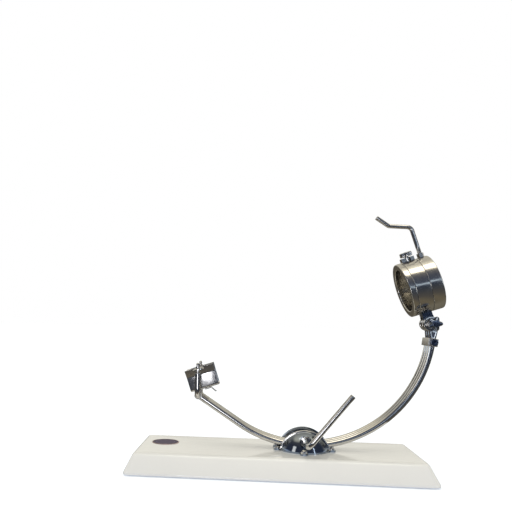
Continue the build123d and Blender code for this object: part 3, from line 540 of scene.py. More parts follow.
@dataclass(frozen=True)
class Enamel:
    """The badge's enamel: a dark pool with a plain paler ring and a fine sunburst."""

    name: str
    centre: tuple[float, float]
    radius: float
    dark: tuple[float, float, float]
    light: tuple[float, float, float]

    def make(self) -> bpy.types.Material:
        """Returns the material: the distance and the angle from the badge's middle choose the tone."""
        n = Nodes(self.name)
        source = n.add("TexCoord").outputs["Object"]
        to_middle = (-self.centre[0], -self.centre[1], 0)
        place = n.add("Mapping", {"Vector": source, "Location": to_middle}).outputs[0]
        axes = n.add("SeparateXYZ", {"Vector": place})
        x, y = axes.outputs[0], axes.outputs[1]
        squares = n.math("ADD", n.math("MULTIPLY", x, x), n.math("MULTIPLY", y, y))
        away = n.math("DIVIDE", n.math("SQRT", squares), self.radius)
        rays = n.math("SINE", n.math("MULTIPLY", n.math("ARCTAN2", y, x), 24.0))
        ring = n.math("MULTIPLY", n.spread(away, 0.66, 0.69, 0, 1), n.spread(away, 0.76, 0.73, 0, 1))
        burst = n.math("MULTIPLY", n.spread(rays, -0.2, 0.2, 0, 0.35), n.spread(away, 0.6, 0.55, 0, 1))
        cloud = n.math("MULTIPLY", n.noise(place, 300.0, 4.0), 0.25)
        tone = n.math("MINIMUM", n.math("ADD", n.math("MAXIMUM", ring, burst), cloud), 1.0)
        n.bump(tone, 3e-5, 0.5)
        rough = n.spread(cloud, 0, 0.25, 0.32, 0.45)
        return n.shade(Base_Color=n.tint(tone, self.dark, self.light), Roughness=rough,
                       Specular_IOR_Level=0.12)


@dataclass
class Shop:
    """The finishes of the whole stand, made once and shared."""

    badge_centre: tuple[float, float]
    badge_radius: float
    made: dict[str, bpy.types.Material] = field(default_factory=dict)

    def __post_init__(self) -> None:
        """Makes each finish."""
        finishes = [
            Lacquer("white_lacquer", (0.715, 0.72, 0.725), (0.755, 0.76, 0.765), 0.14),
            Polish("badge_rim", (0.34, 0.20, 0.19), (0.46, 0.30, 0.28), 0.25),
            Polish("bright_steel", (0.60, 0.585, 0.56), (0.72, 0.705, 0.68), 0.10),
            # mirror_steel is a painted reflection: its dark blue-grey base colour, far darker than steel,
            # stands in for dark surroundings reflected in the polished parts that wear it
            Polish("mirror_steel", (0.20, 0.225, 0.26), (0.28, 0.31, 0.35), 0.06, 0.05),
            Polish("sheet_steel", (0.58, 0.57, 0.56), (0.72, 0.71, 0.70), 0.12, 0.1, (900.0, 30.0, 900.0)),
            Polish("screw_steel", (0.46, 0.45, 0.44), (0.62, 0.61, 0.59), 0.22, 0.12),
            Polish("satin_steel", (0.62, 0.605, 0.575), (0.74, 0.725, 0.695), 0.36, 0.1),
            Polish("blued_steel", (0.15, 0.18, 0.25), (0.24, 0.28, 0.36), 0.14, 0.1),
            TurnedSteel("brushed_steel", (0.56, 0.535, 0.49), (0.74, 0.715, 0.665), 0.13),
            Moulded("nylon", (0.76, 0.74, 0.68), (0.86, 0.85, 0.80), 0.45),
            Moulded("rubber", (0.018, 0.018, 0.02), (0.05, 0.05, 0.052), 0.62),
            Enamel("badge_enamel", self.badge_centre, self.badge_radius, (0.022, 0.016, 0.050),
                   (0.10, 0.060, 0.135)),
        ]
        self.made = {finish.name: finish.make() for finish in finishes}

    def dress(self, piece: bpy.types.Object, finish: str) -> None:
        """Gives a piece one finish all over."""
        piece.data.materials.clear()
        piece.data.materials.append(self.made[finish])


# ---- what the frame says ----


@dataclass
class Frame:
    """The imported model, with short ways to read places from it."""

    loaded: dict[str, Any]
    shop: Shop
    slots: dict[str, str] = field(default_factory=dict)
    body_of: dict[str, str] = field(default_factory=dict)

    def __post_init__(self) -> None:
        """Reads each node's material slot and body."""
        record = self.loaded["record"]
        self.slots = {s["node"]: s["material_slot"] for s in record["subparts"]}
        self.body_of = {n: b for b, nodes in record["behaviour"]["bodies"].items() for n in nodes}

    def box(self, node: str) -> tuple[np.ndarray, np.ndarray]:
        """A node's lowest and highest corner."""
        low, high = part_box(node)
        return np.array(low), np.array(high)

    def middle(self, node: str) -> np.ndarray:
        """The middle of a node's box."""
        low, high = self.box(node)
        return (low + high) / 2

    def points(self, node: str) -> np.ndarray:
        """A node's vertices, as an array."""
        mesh = self.loaded["nodes"][node].data
        flat = np.empty(3 * len(mesh.vertices), np.float32)
        mesh.vertices.foreach_get("co", flat)
        return flat.reshape(-1, 3).astype(float)

    def joint(self, name: str) -> tuple[np.ndarray, np.ndarray]:
        """A joint's place and axis; a slide's place is zero."""
        found = next(j for j in self.loaded["joints"] if j["name"] == name)
        return np.array(found.get("pos_m", [0, 0, 0]), float), np.array(found["axis"], float)

    def place(self, piece: bpy.types.Object, node: str, finish: str | None = None) -> None:
        """Lets a piece stand for a CAD node: same body, and the finish of the node's slot.

        Args:
            piece: the new piece.
            node: the node that it stands for.
            finish: another finish than the slot's own.
        """
        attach(piece, self.body_of[node])
        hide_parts(node)
        self.shop.dress(piece, finish or self.slots[node])
        LOG.info("%s stands for %s: %d faces", piece.name, node, len(piece.data.polygons))


# ---- sub-assemblies ----


@dataclass
class Board:
    """The lacquered board: an upright lip, sloping bevels and a flat top, its edges eased by the lacquer."""

    frame: Frame
    lip: float = 3.0 * MM
    foot_corner: float = 10.0 * MM
    top_corner: float = 6.0 * MM
    crown_edge: float = 9.0 * MM
    lip_edge: float = 3.6 * MM
    end_bevel: float = 13.0 * MM
    side_bevel: float = 20.0 * MM
    inward: float = 20.0 * MM      # how far the side outline goes on over the flat top
    kept_run: float = 12.0 * MM    # loops are kept up to this far over the flat top

    def build(self) -> None:
        """Makes the board.

        Rounded rectangles are stacked by height. Their half sizes follow the board's side outline, whose
        three corners are arcs, and their corner radius goes evenly from the foot's to the top's.
        """
        low, high = self.frame.box("base_board")
        half = (high - low) / 2
        tall, slope = high[2] - low[2], self.side_bevel
        inner = -slope - self.inward
        side = rounded_outline([
            (0, 0, 0), (0, self.lip, self.lip_edge), (-slope, tall, self.crown_edge),
            (inner, tall, 0), (inner, 0, 0)], 8)
        rise = side[side[:, 0] > -slope - self.kept_run]
        rise = rise[np.argsort(rise[:, 1] - 1e-3 * rise[:, 0])]
        bevels = np.array([self.end_bevel, self.side_bevel])
        loops = []
        for x, z in rise:
            share = max(-x / slope, 0.0)
            corner = self.foot_corner + (self.top_corner - self.foot_corner) * min(share, 1)
            hx, hy = half[:2] - bevels * share
            outline = rounded_outline([
                (hx, -hy, corner), (hx, hy, corner), (-hx, hy, corner), (-hx, -hy, corner)], 10)
            loops.append(np.column_stack([outline, np.full(len(outline), low[2] + z)]))
        centre = np.array([(low[0] + high[0]) / 2, (low[1] + high[1]) / 2, 0.0])
        grid = np.array(loops) + centre
        foot, top = (np.broadcast_to(centre + [0, 0, z], grid[:1].shape) for z in (low[2], high[2]))
        piece = build_mesh("lacquered_board", [np.concatenate([foot, grid, top])], 60)
        self.frame.place(piece, "base_board")


@dataclass
class Arch:
    """Three round bars: an arc, a straight run to the fork, and a flattened eye at the head's end."""

    frame: Frame
    neck: float = 16.0 * MM
    eye_edge: float = 0.8 * MM
    eye_bore: float = 4.0 * MM
    bore_edge: float = 0.3 * MM
    arc_steps: int = 150
    run_steps: int = 24

    def build(self) -> None:
        """Makes the three bars.

        A bar's centre line is the arc about the tilt joint's axis, and from the point where the arc's
        tangent runs to the fork's cross bar it is that tangent. Over the neck the round section turns to a
        flat one as wide as the eye's flank.
        """
        centre, _ = self.frame.joint("arch_tilt")
        pivot, _ = self.frame.joint("ring_pivot")
        fork_low, fork_high = self.frame.box("fork")
        fork_r = (fork_high[0] - fork_low[0]) / 2
        fork = np.array([(fork_low[0] + fork_high[0]) / 2, 0, fork_low[2] + fork_r])
        for name in ("front", "middle", "rear"):
            node = f"arch_rod_{name}"
            low, high = self.frame.box(node)
            rod_r, y = (high[1] - low[1]) / 2, (high[1] + low[1]) / 2
            radius = centre[2] - (low[2] + rod_r)
            eye_r = high[2] - pivot[2]
            eye_half = self.eye_half(node, pivot, rod_r)
            to_fork = fork - centre
            reach = hypot(to_fork[0], to_fork[2])
            leave = atan2(to_fork[2], to_fork[0]) + np.arccos(radius / reach)
            end = atan2(pivot[2] - centre[2], pivot[0] - centre[0]) - 0.35 * eye_r / radius
            angles = np.linspace(leave, end, self.arc_steps)
            round_x = centre[0] + radius * np.cos(angles)
            round_z = centre[2] + radius * np.sin(angles)
            line = np.stack([round_x, np.full(self.arc_steps, y), round_z], 1)
            run = np.linspace(0, 1, self.run_steps)[:-1, None]
            start = np.array([fork[0], y, fork[2]])
            path = np.concatenate([start + run * (line[0] - start), line])
            left = np.concatenate([[0.0], np.cumsum(np.linalg.norm(np.diff(path, axis=0), axis=1))])
            left = left[-1] - left
            blend = np.clip(1 - (left - 0.5 * eye_r) / self.neck, 0, 1)
            blend = blend * blend * (3 - 2 * blend)
            wide = rod_r * (1 + 0.35 * blend)
            thick = rod_r + (eye_half - rod_r) * blend
            shank = bar(path, Y_AXIS, wide, thick, 2 + 1.5 * blend)
            edge = self.eye_edge
            outline = rounded_outline([
                (self.eye_bore, -eye_half, self.bore_edge), (eye_r, -eye_half, edge),
                (eye_r, eye_half, edge), (self.eye_bore, eye_half, self.bore_edge)], 4)
            eye = turned(outline, np.array([pivot[0], y, pivot[2]]), Y_AXIS, 72)
            piece = build_mesh(f"arch_bar_{name}", [shank, eye])
            self.frame.place(piece, node)

    def eye_half(self, node: str, pivot: np.ndarray, rod_r: float) -> float:
        """Half the eye's thickness, read from the points of the node that lie about the pivot's level."""
        points = self.frame.points(node)
        near = points[points[:, 2] > pivot[2]]
        return min((near[:, 1].max() - near[:, 1].min()) / 2, rod_r)


@dataclass
class Dome:
    """The clamp's dome: two mirror-polished cheeks with a counterbore, and a jaw plate inside each, the front
    one bright, the rear one dark as painted shade.
    """

    frame: Frame
    seat_r: float = 9.5 * MM
    jaw_edge: float = 0.9 * MM
    seat_step: float = 0.15 * MM   # width of the counterbore's wall, seen from the front

    def build(self) -> None:
        """Makes both cheeks and both jaw plates."""
        screw, _ = self.frame.joint("lever_turn")
        floor = self.frame.box("front_cheek")[0][2]
        jaw_low, jaw_high = self.frame.box("front_jaw_plate")
        jaw_r = self.disc_radius(jaw_low, jaw_high, floor)
        centre_z = jaw_high[2] - jaw_r
        low, high = self.frame.box("front_cheek")
        flat_y = -high[1]
        flat_r = high[2] - centre_z
        ball_r = hypot(flat_r, flat_y)
        seat_y = -self.frame.box("lever_washer")[1][1]
        for side, name in ((-1, "front"), (1, "rear")):
            grid = self.cheek(screw, centre_z, floor, flat_y, ball_r, seat_y, side)
            self.frame.place(build_mesh(f"dome_cheek_{name}", [grid], 40), f"{name}_cheek")
            plate_low, plate_high = self.frame.box(f"{name}_jaw_plate")
            start = np.arcsin((floor - centre_z) / jaw_r)
            outline = arc((0, centre_z), jaw_r, start, pi - start, 72)
            outline = np.concatenate([outline, outline[:1]])
            origin = np.array([screw[0], plate_high[1], 0.0])
            thick = plate_high[1] - plate_low[1]
            grids = slab(outline, origin, np.array([1.0, 0, 0]), np.array([0, 0, 1.0]), thick, self.jaw_edge)
            # painted shade: the rear jaw plate gets the dark mirror_steel colour while the front one keeps
            # bright steel, so the rear plate looks shaded
            finish = "bright_steel" if name == "front" else "mirror_steel"
            self.frame.place(build_mesh(f"jaw_plate_{name}", grids, 50), f"{name}_jaw_plate", finish)

    def disc_radius(self, low: np.ndarray, high: np.ndarray, floor: float) -> float:
        """The radius of a disc from the chord and the rise that stand above the floor."""
        rise, half = high[2] - floor, (high[0] - low[0]) / 2
        return (half * half + rise * rise) / (2 * rise)

    def cheek(self, screw: np.ndarray, centre_z: float, floor: float, flat_y: float, ball_r: float,
              seat_y: float, side: int) -> np.ndarray:
        """One cheek, as rays from the clamp screw's axis out to the cheek's outline.

        A ray's length is the distance to the ball's rim or to the floor, whichever is nearer. Along it the
        surface stands at the ball's height, sqrt(R^2 - x^2 - z^2), but no higher than the seat within the
        counterbore, and then it comes back along the flat inner face.

        Args:
            screw: a point on the clamp screw's axis.
            centre_z: height of the ball's centre.
            floor: height of the cheek's foot.
            flat_y: the inner face's distance from the middle plane.
            ball_r: the ball's radius.
            seat_y: the counterbore's distance from the middle plane.
            side: -1 for the front cheek, 1 for the rear.

        Returns:
            A closed grid.
        """
        t = np.linspace(0, TAU, 145)
        flat_r = sqrt(ball_r**2 - flat_y**2)
        dz = screw[2] - centre_z
        c, s = np.cos(t), np.sin(t)
        to_rim = -dz * s + np.sqrt(np.maximum((dz * s) ** 2 - dz * dz + flat_r**2, 0))
        to_floor = np.where(s < -1e-6, (screw[2] - floor) / np.maximum(-s, 1e-6), 1.0)
        reach = np.minimum(to_rim, to_floor)
        seat = np.minimum(self.seat_r, reach)
        inside = np.array([0.0, 0.5, 0.93, 0.985, 1.0])
        outside = np.linspace(0, 1, 22) ** 0.9
        start = seat + self.seat_step
        rays = np.concatenate([inside[:, None] * seat, start + outside[:, None] * (reach - start)])
        x, z = rays * c, rays * s + dz
        ball = np.sqrt(np.maximum(ball_r**2 - x * x - z * z, flat_y**2))
        y = np.where(np.arange(len(rays))[:, None] < len(inside), np.minimum(ball, seat_y), ball)
        back = np.linspace(1, 0, 6)[:, None] * reach
        x2, z2 = back * c, back * s + dz
        x, z = np.concatenate([x, x2]), np.concatenate([z, z2])
        y = np.concatenate([y, np.full(x2.shape, flat_y)])
        return np.stack([screw[0] + x, side * y, centre_z + z], axis=-1)


@dataclass
class Lever:
    """The clamp lever: a round bar bent from the screw's axis, with a drilled end."""

    frame: Frame
    bend: float = 11.0 * MM
    rim: float = 0.9 * MM
    screw_rim: float = 0.4 * MM
    dimple_r: float = 2.0 * MM
    dimple: float = 3.0 * MM

    def build(self) -> None:
        """Makes the lever: one bar along the screw's axis and up the long leg, and its screw behind."""
        screw, _ = self.frame.joint("lever_turn")
        points = self.frame.points("clamp_lever")
        leg = points[points[:, 2] > screw[2] + 40 * MM]
        radius, y = np.ptp(leg[:, 1]) / 2, (leg[:, 1].max() + leg[:, 1].min()) / 2
        corner = np.array([screw[0], y, screw[2]])
        along = unit((leg.mean(0) - corner) * [1, 0, 1])
        tip = corner + along * ((leg - corner) @ along).max()
        start = np.array([screw[0], self.frame.box("lever_washer")[0][1] - 0.1 * MM, screw[2]])
        plane = unit(np.cross(-Y_AXIS, along))
        path = bent_path([start, corner, tip], self.bend, 2.5 * MM)
        path, widths = end_round(path, radius, self.rim)
        grid = bar(path, plane, widths, widths)
        rims = self.drilled(grid, tip, along)
        back = np.array([screw[0], points[:, 1].max(), screw[2]])
        screw_r = np.linalg.norm((points - back)[points[:, 1] > back[1] - 0.1 * MM][:, [0, 2]], axis=1).max()
        shaft, shaft_r = end_round(np.array([start - Y_AXIS * MM, back]), screw_r, self.screw_rim)
        thread = bar(shaft, np.array([0, 0, 1.0]), shaft_r, shaft_r, segments=28)
        piece = build_mesh("lever_bar", [rims, thread])
        self.frame.place(piece, "clamp_lever")

    def drilled(self, grid: np.ndarray, tip: np.ndarray, along: np.ndarray) -> np.ndarray:
        """Replaces the closing point of a bar's end by a drilled hole with a flat floor."""
        ring = grid[-2]
        out = unit(ring - tip)
        mouth = tip + out * self.dimple_r
        floor = mouth - along * self.dimple
        hub = np.repeat((tip - along * self.dimple)[None], len(ring), 0)
        return np.concatenate([grid[:-1], mouth[None], floor[None], hub[None]])


@dataclass
class Ring:
    """The shank ring: a front flange, the fixed ring and the turning spool, each turned with eased edges."""

    frame: Frame
    edge: float = 0.7 * MM
    bore: float = 35.0 * MM
    grip: float = 33.5 * MM
    bore_edge: float = 1.6 * MM
    face_edge: float = 1.4 * MM
    spool_edge: float = 1.6 * MM
    grip_edge: float = 1.2 * MM
    sleeve_wall: float = 4.8 * MM
    bush_wall: float = 2.1 * MM    # the nylon bush and its running gap
    wall_gap: float = 0.2 * MM     # between the fixed ring and the spool's wall
    wall_step: float = 2.0 * MM    # from the fixed ring to where the bore narrows to the grip

    def build(self) -> None:
        """Makes the three rings as turned outlines about the ring's axis."""
        place, axis = self.frame.joint("ring_spin")
        spool = self.span("rotating_spool", place, axis)
        fixed = self.span("fixed_ring", place, axis)
        flange = self.span("retaining_flange", place, axis)
        outer = flange[2]
        e = self.edge
        front = rounded_outline([
            (self.bore, flange[0], self.bore_edge), (outer, flange[0], self.face_edge),
            (outer, flange[1], e), (self.bore, flange[1], 0)], 5)
        self.frame.place(build_mesh("front_flange", [turned(front, place, axis)]), "retaining_flange")
        sleeve = self.bore + self.sleeve_wall
        inner = sleeve + self.bush_wall
        body = rounded_outline([
            (inner, fixed[0], 0), (outer, fixed[0], e), (outer, fixed[1], e), (inner, fixed[1], 0)], 4)
        self.frame.place(build_mesh("bracket_ring", [turned(body, place, axis)]), "fixed_ring")
        wall = fixed[1] + self.wall_gap
        lip = fixed[1] + self.wall_step
        turning = rounded_outline([
            (self.bore, flange[1], 0), (sleeve, flange[1], 0), (sleeve, wall, 0), (outer, wall, e),
            (outer, spool[1], self.spool_edge), (self.grip, spool[1], self.grip_edge),
            (self.grip, lip, 0.4 * MM), (self.bore, lip, 0)], 5)
        self.frame.place(build_mesh("turning_spool", [turned(turning, place, axis)]), "rotating_spool")

    def span(self, node: str, place: np.ndarray, axis: np.ndarray) -> tuple[float, float, float]:
        """Where a node starts and ends along the axis, and its greatest distance from it."""
        points = self.frame.points(node) - place
        along = points @ axis
        away = np.linalg.norm(points - along[:, None] * axis, axis=1)
        return along.min(), along.max(), away.max()


@dataclass
class Crank:
    """The crank: a screw that rises from the ring and bends twice to its grip."""

    frame: Frame
    bend: float = 9.0 * MM
    rim: float = 0.8 * MM
    pitch: float = 1.5 * MM
    thread: float = 0.28 * MM
    thread_run: float = 40.0 * MM
    thread_fade: float = 4.0 * MM
    rise: float = 96.8 * MM
    arm: tuple[float, float] = (10.3 * MM, 109.8 * MM)
    tip: tuple[float, float] = (-4.4 * MM, 129.3 * MM)

    def build(self) -> None:
        """Makes the crank in the plane of the ring's axis and the screw, its lower run threaded.

        The thread is a radius that goes up and down by a cosine of the length over the pitch.
        """
        place, s_axis = self.frame.joint("ring_spin")
        screw, inward = self.frame.joint("crank_turn")
        v_axis = -inward
        low_end = self.frame.points("crank_screw") @ v_axis
        zero = self.frame.points("retaining_flange") @ s_axis
        s0 = zero.min()
        base = place + s_axis * (s0 - place @ s_axis)
        s_screw = screw @ s_axis - s0
        v0 = low_end.min() - place @ v_axis
        stops = ((s_screw, v0), (s_screw, self.rise), self.arm, self.tip)
        corners = [base + s_axis * s + v_axis * v for s, v in stops]
        radius = self.radius()
        path = bent_path(corners, self.bend, 0.3 * MM)
        path, widths = end_round(path, radius, self.rim)
        travelled = (path - corners[0]) @ v_axis
        straight = np.linalg.norm(path - corners[0] - travelled[:, None] * v_axis, axis=1) < 1e-5
        fade = np.clip((self.thread_run - travelled) / self.thread_fade, 0, 1) * straight
        widths = widths - self.thread * fade * (0.5 + 0.5 * np.cos(TAU * travelled / self.pitch))
        grid = bar(path, Y_AXIS, widths, widths, segments=32)
        self.frame.place(build_mesh("crank_handle", [grid]), "crank_screw")

    def radius(self) -> float:
        """The screw's radius, from the node's width across the stand."""
        low, high = self.frame.box("crank_screw")
        return (high[1] - low[1]) / 2


@dataclass
class StarKnob:
    """The pivot's star knob: a cast star with blunt points, tapered to the front, polished."""

    frame: Frame
    lobes: int = 5

    def build(self) -> None:
        """Makes the knob: a turned outline whose radius swells at each point of the star.

        The factor at an angle t is 1 - d * (1 - |cos(n t / 2)|^1.6), where n is the number of points, and
        the dip d is deep over the points and nothing at the hub.
        """
        low, high = self.frame.box("star_knob")
        pivot, _ = self.frame.joint("knob_turn")
        depth, radius = high[1] - low[1], (high[2] - low[2]) / 2
        outline = rounded_outline([
            (0, 0, 0), (0.62 * radius, 0, 0.8 * MM), (0.66 * radius, 0.22 * depth, 1.5 * MM),
            (1.04 * radius, 0.36 * depth, 1.6 * MM), (0.98 * radius, 0.72 * depth, 2.2 * MM),
            (0.5 * radius, 0.98 * depth, 2.4 * MM), (0, depth, 0)], 5)[:-1]
        t = np.linspace(0, TAU, 181)
        star = 1 - np.abs(np.cos(self.lobes * t / 2)) ** 1.6
        dip = 0.36 * np.clip((outline[:, 0] / radius - 0.45) / 0.5, 0, 1) ** 0.8
        shape = 1 - star[:, None] * dip[None]
        centre = np.array([pivot[0], high[1], pivot[2]])
        grid = polar(shape, outline, centre, -Y_AXIS, np.array([1.0, 0, 0]))
        self.frame.place(build_mesh("star_grip", [grid], 28), "star_knob", "blued_steel")


@dataclass
class ThumbScrew:
    """The lock's thumb screw: a lobed, knurled head on a plain stem."""

    frame: Frame
    lobes: int = 6
    stem_r: float = 3.25 * MM

    def build(self) -> None:
        """Makes head and stem: the head's radius swells at each lobe and carries fine ridges."""
        place, axis = self.frame.joint("thumb_turn")
        points = self.frame.points("thumb_screw") - place
        along = points @ axis
        away = np.linalg.norm(points - along[:, None] * axis, axis=1)
        head = away > 1.5 * self.stem_r
        low, high, radius = along[head].min(), along.max(), away.max()
        outline = rounded_outline([
            (0, low, 0), (radius, low, 1.2 * MM), (radius, high, 1.8 * MM), (0.45 * radius, high, 0.8 * MM),
            (0.40 * radius, high - 0.8 * MM, 0.5 * MM), (0, high - 0.8 * MM, 0)], 5)[:-1]
        t = np.linspace(0, TAU, 289)
        lobe = 0.91 + 0.09 * np.cos(self.lobes * t) + 0.008 * np.cos(36 * t)
        full = np.clip(outline[:, 0] / radius, 0, 1) ** 2
        shape = 1 + (lobe - 1)[:, None] * full[None]
        grid = polar(shape, outline, place, axis, np.array([0.0, 1.0, 0.0]))
        foot, root = along.min(), low + 1 * MM
        stem = rounded_outline([
            (0, foot, 0), (self.stem_r, foot, 0.5 * MM), (self.stem_r, root, 0), (0, root, 0)], 3)[:-1]
        piece = build_mesh("thumb_grip", [grid, turned(stem, place, axis, 40)])
        self.frame.place(piece, "thumb_screw")


@dataclass
class Cradle:
    """The fork and the saddle: a bent round bar, two dished discs on tips, and a folded sheet trough."""

    frame: Frame
    fork_bend: float = 12.0 * MM
    fork_rim: float = 1.4 * MM
    sheet: float = 2.0 * MM
    sheet_rim: float = 0.45 * MM
    lip_rim: float = 0.5 * MM
    outer_fold: float = 5.0 * MM
    inner_fold: float = 4.0 * MM
    fold_lift: float = 0.4 * MM    # the inner fold stands this much above the outer one
    floor_r: float = 4.0 * MM
    flare: float = radians(22)
    drop: float = 13.5 * MM
    lip_start: float = 11.5 * MM
    top: float = 24.0 * MM
    tilt: float = radians(18)

    def build(self) -> None:
        """Makes the fork and the saddle."""
        self.build_fork()
        self.build_saddle()

    def build_fork(self) -> None:
        """The fork: one round bar, up, across and up again, in the plane across the stand."""
        low, high = self.frame.box("fork")
        radius = (high[0] - low[0]) / 2
        x = (low[0] + high[0]) / 2
        y = (high[1] - low[1]) / 2 - radius
        z = low[2] + radius
        corners = [np.array(p) for p in ((x, -y, high[2]), (x, -y, z), (x, y, z), (x, y, high[2]))]
        path = bent_path(corners, self.fork_bend, 2 * MM)
        path, widths = end_round(path, radius, self.fork_rim)
        grid = bar(path, np.array([1.0, 0, 0]), widths, widths)
        self.frame.place(build_mesh("fork_bar", [grid]), "fork")

    def build_saddle(self) -> None:
        """The saddle: a folded strip, its two sides flared at the top, with the sheet's own thickness.

        The outline is the outer face and then the inner one, each with rounded folds, carried along the
        saddle. Its ends draw in by a small round.
        """
        pin, _ = self.frame.joint("saddle_tilt")
        along = np.array([cos(self.tilt), 0, sin(self.tilt)])
        up = np.array([-sin(self.tilt), 0, cos(self.tilt)])
        points = self.frame.points("saddle") - pin
        u = points @ along
        w = points @ up
        deep = points[np.abs(w) < 4 * MM]
        half = np.abs(deep[:, 1]).max()
        lip = half + (self.top - self.lip_start) * np.tan(self.flare)
        thin = self.sheet / cos(self.flare)
        t, r, rim = self.sheet, self.floor_r, self.lip_rim
        fold, inner = self.lip_start, self.lip_start + self.fold_lift
        outline = rounded_outline([
            (-lip, self.top, rim), (-half, fold, self.outer_fold), (-half, -self.drop, r),
            (half, -self.drop, r), (half, fold, self.outer_fold), (lip, self.top, rim),
            (lip - thin, self.top, rim), (half - t, inner, self.inner_fold),
            (half - t, -self.drop + t, r - t), (-half + t, -self.drop + t, r - t),
            (-half + t, inner, self.inner_fold), (-lip + thin, self.top, rim)], 6)
        n = len(outline)
        tangent = np.roll(outline[:-1], -1, axis=0) - np.roll(outline[:-1], 1, axis=0)
        normal = unit(np.stack([tangent[:, 1], -tangent[:, 0]], axis=1))
        normal = np.concatenate([normal, normal[:1]])
        x, y = outline[:-1].T
        normal *= np.sign(np.sum(x * np.roll(y, -1) - np.roll(x, -1) * y))
        edge = self.sheet_rim
        a = np.linspace(0, pi / 2, 4)
        place = np.concatenate([u.min() + edge * (1 - np.cos(a)), u.max() - edge * (1 - np.cos(a[::-1]))])
        inset = edge * np.concatenate([1 - np.sin(a), 1 - np.sin(a[::-1])])
        ring = outline[None] - inset[:, None, None] * normal[None]
        grid = pin + place[:, None, None] * along + ring[..., :1] * Y_AXIS + ring[..., 1:] * up
        patches = [grid]
        for loop in (grid[0], grid[-1]):
            patches.append(np.stack([loop[:n // 2], loop[::-1][:n // 2]]))
        self.frame.place(build_mesh("folded_saddle", patches, 40), "saddle")


@dataclass
class Collar:
    """The block that ties the three bars together, with eased edges and a socket screw's head."""

    frame: Frame
    edge: float = 1.2 * MM
    corner: float = 2.2 * MM

    def build(self) -> None:
        """Makes the block as a plate whose outline lies across the bars."""
        centre, _ = self.frame.joint("arch_tilt")
        middle = self.frame.middle("rod_collar")
        out = unit(np.array([middle[0] - centre[0], 0, middle[2] - centre[2]]))
        along = np.array([-out[2], 0, out[0]])
        points = self.frame.points("rod_collar") - middle
        deep, tall = np.ptp(points @ out) / 2, np.ptp(points @ along)
        wide = np.ptp(points[:, 1]) / 2
        r = self.corner
        outline = rounded_outline([(deep, -wide, r), (deep, wide, r), (-deep, wide, r), (-deep, -wide, r)], 6)
        origin = middle - along * tall / 2 * np.sign(np.cross(out, Y_AXIS) @ along)
        grids = slab(outline, origin, out, Y_AXIS, tall, self.edge)
        self.frame.place(build_mesh("tie_block", grids, 50), "rod_collar")


@dataclass
class Plain:
    """The nodes whose shape is right as it is: each gets the finish of its slot, or its own."""

    frame: Frame
    special: dict[str, str] = field(default_factory=lambda: {
        "badge_rim": "badge_rim", "ring_bracket": "blued_steel", "collar_screw": "blued_steel"})

    def dress(self, replaced: set[str]) -> None:
        """Gives each node that is still shown its slot's finish."""
        for name, node in self.frame.loaded["nodes"].items():
            if name in replaced:
                continue
            self.frame.shop.dress(node, self.special.get(name, self.frame.slots[name]))
            LOG.info("%s keeps its own shape", name)


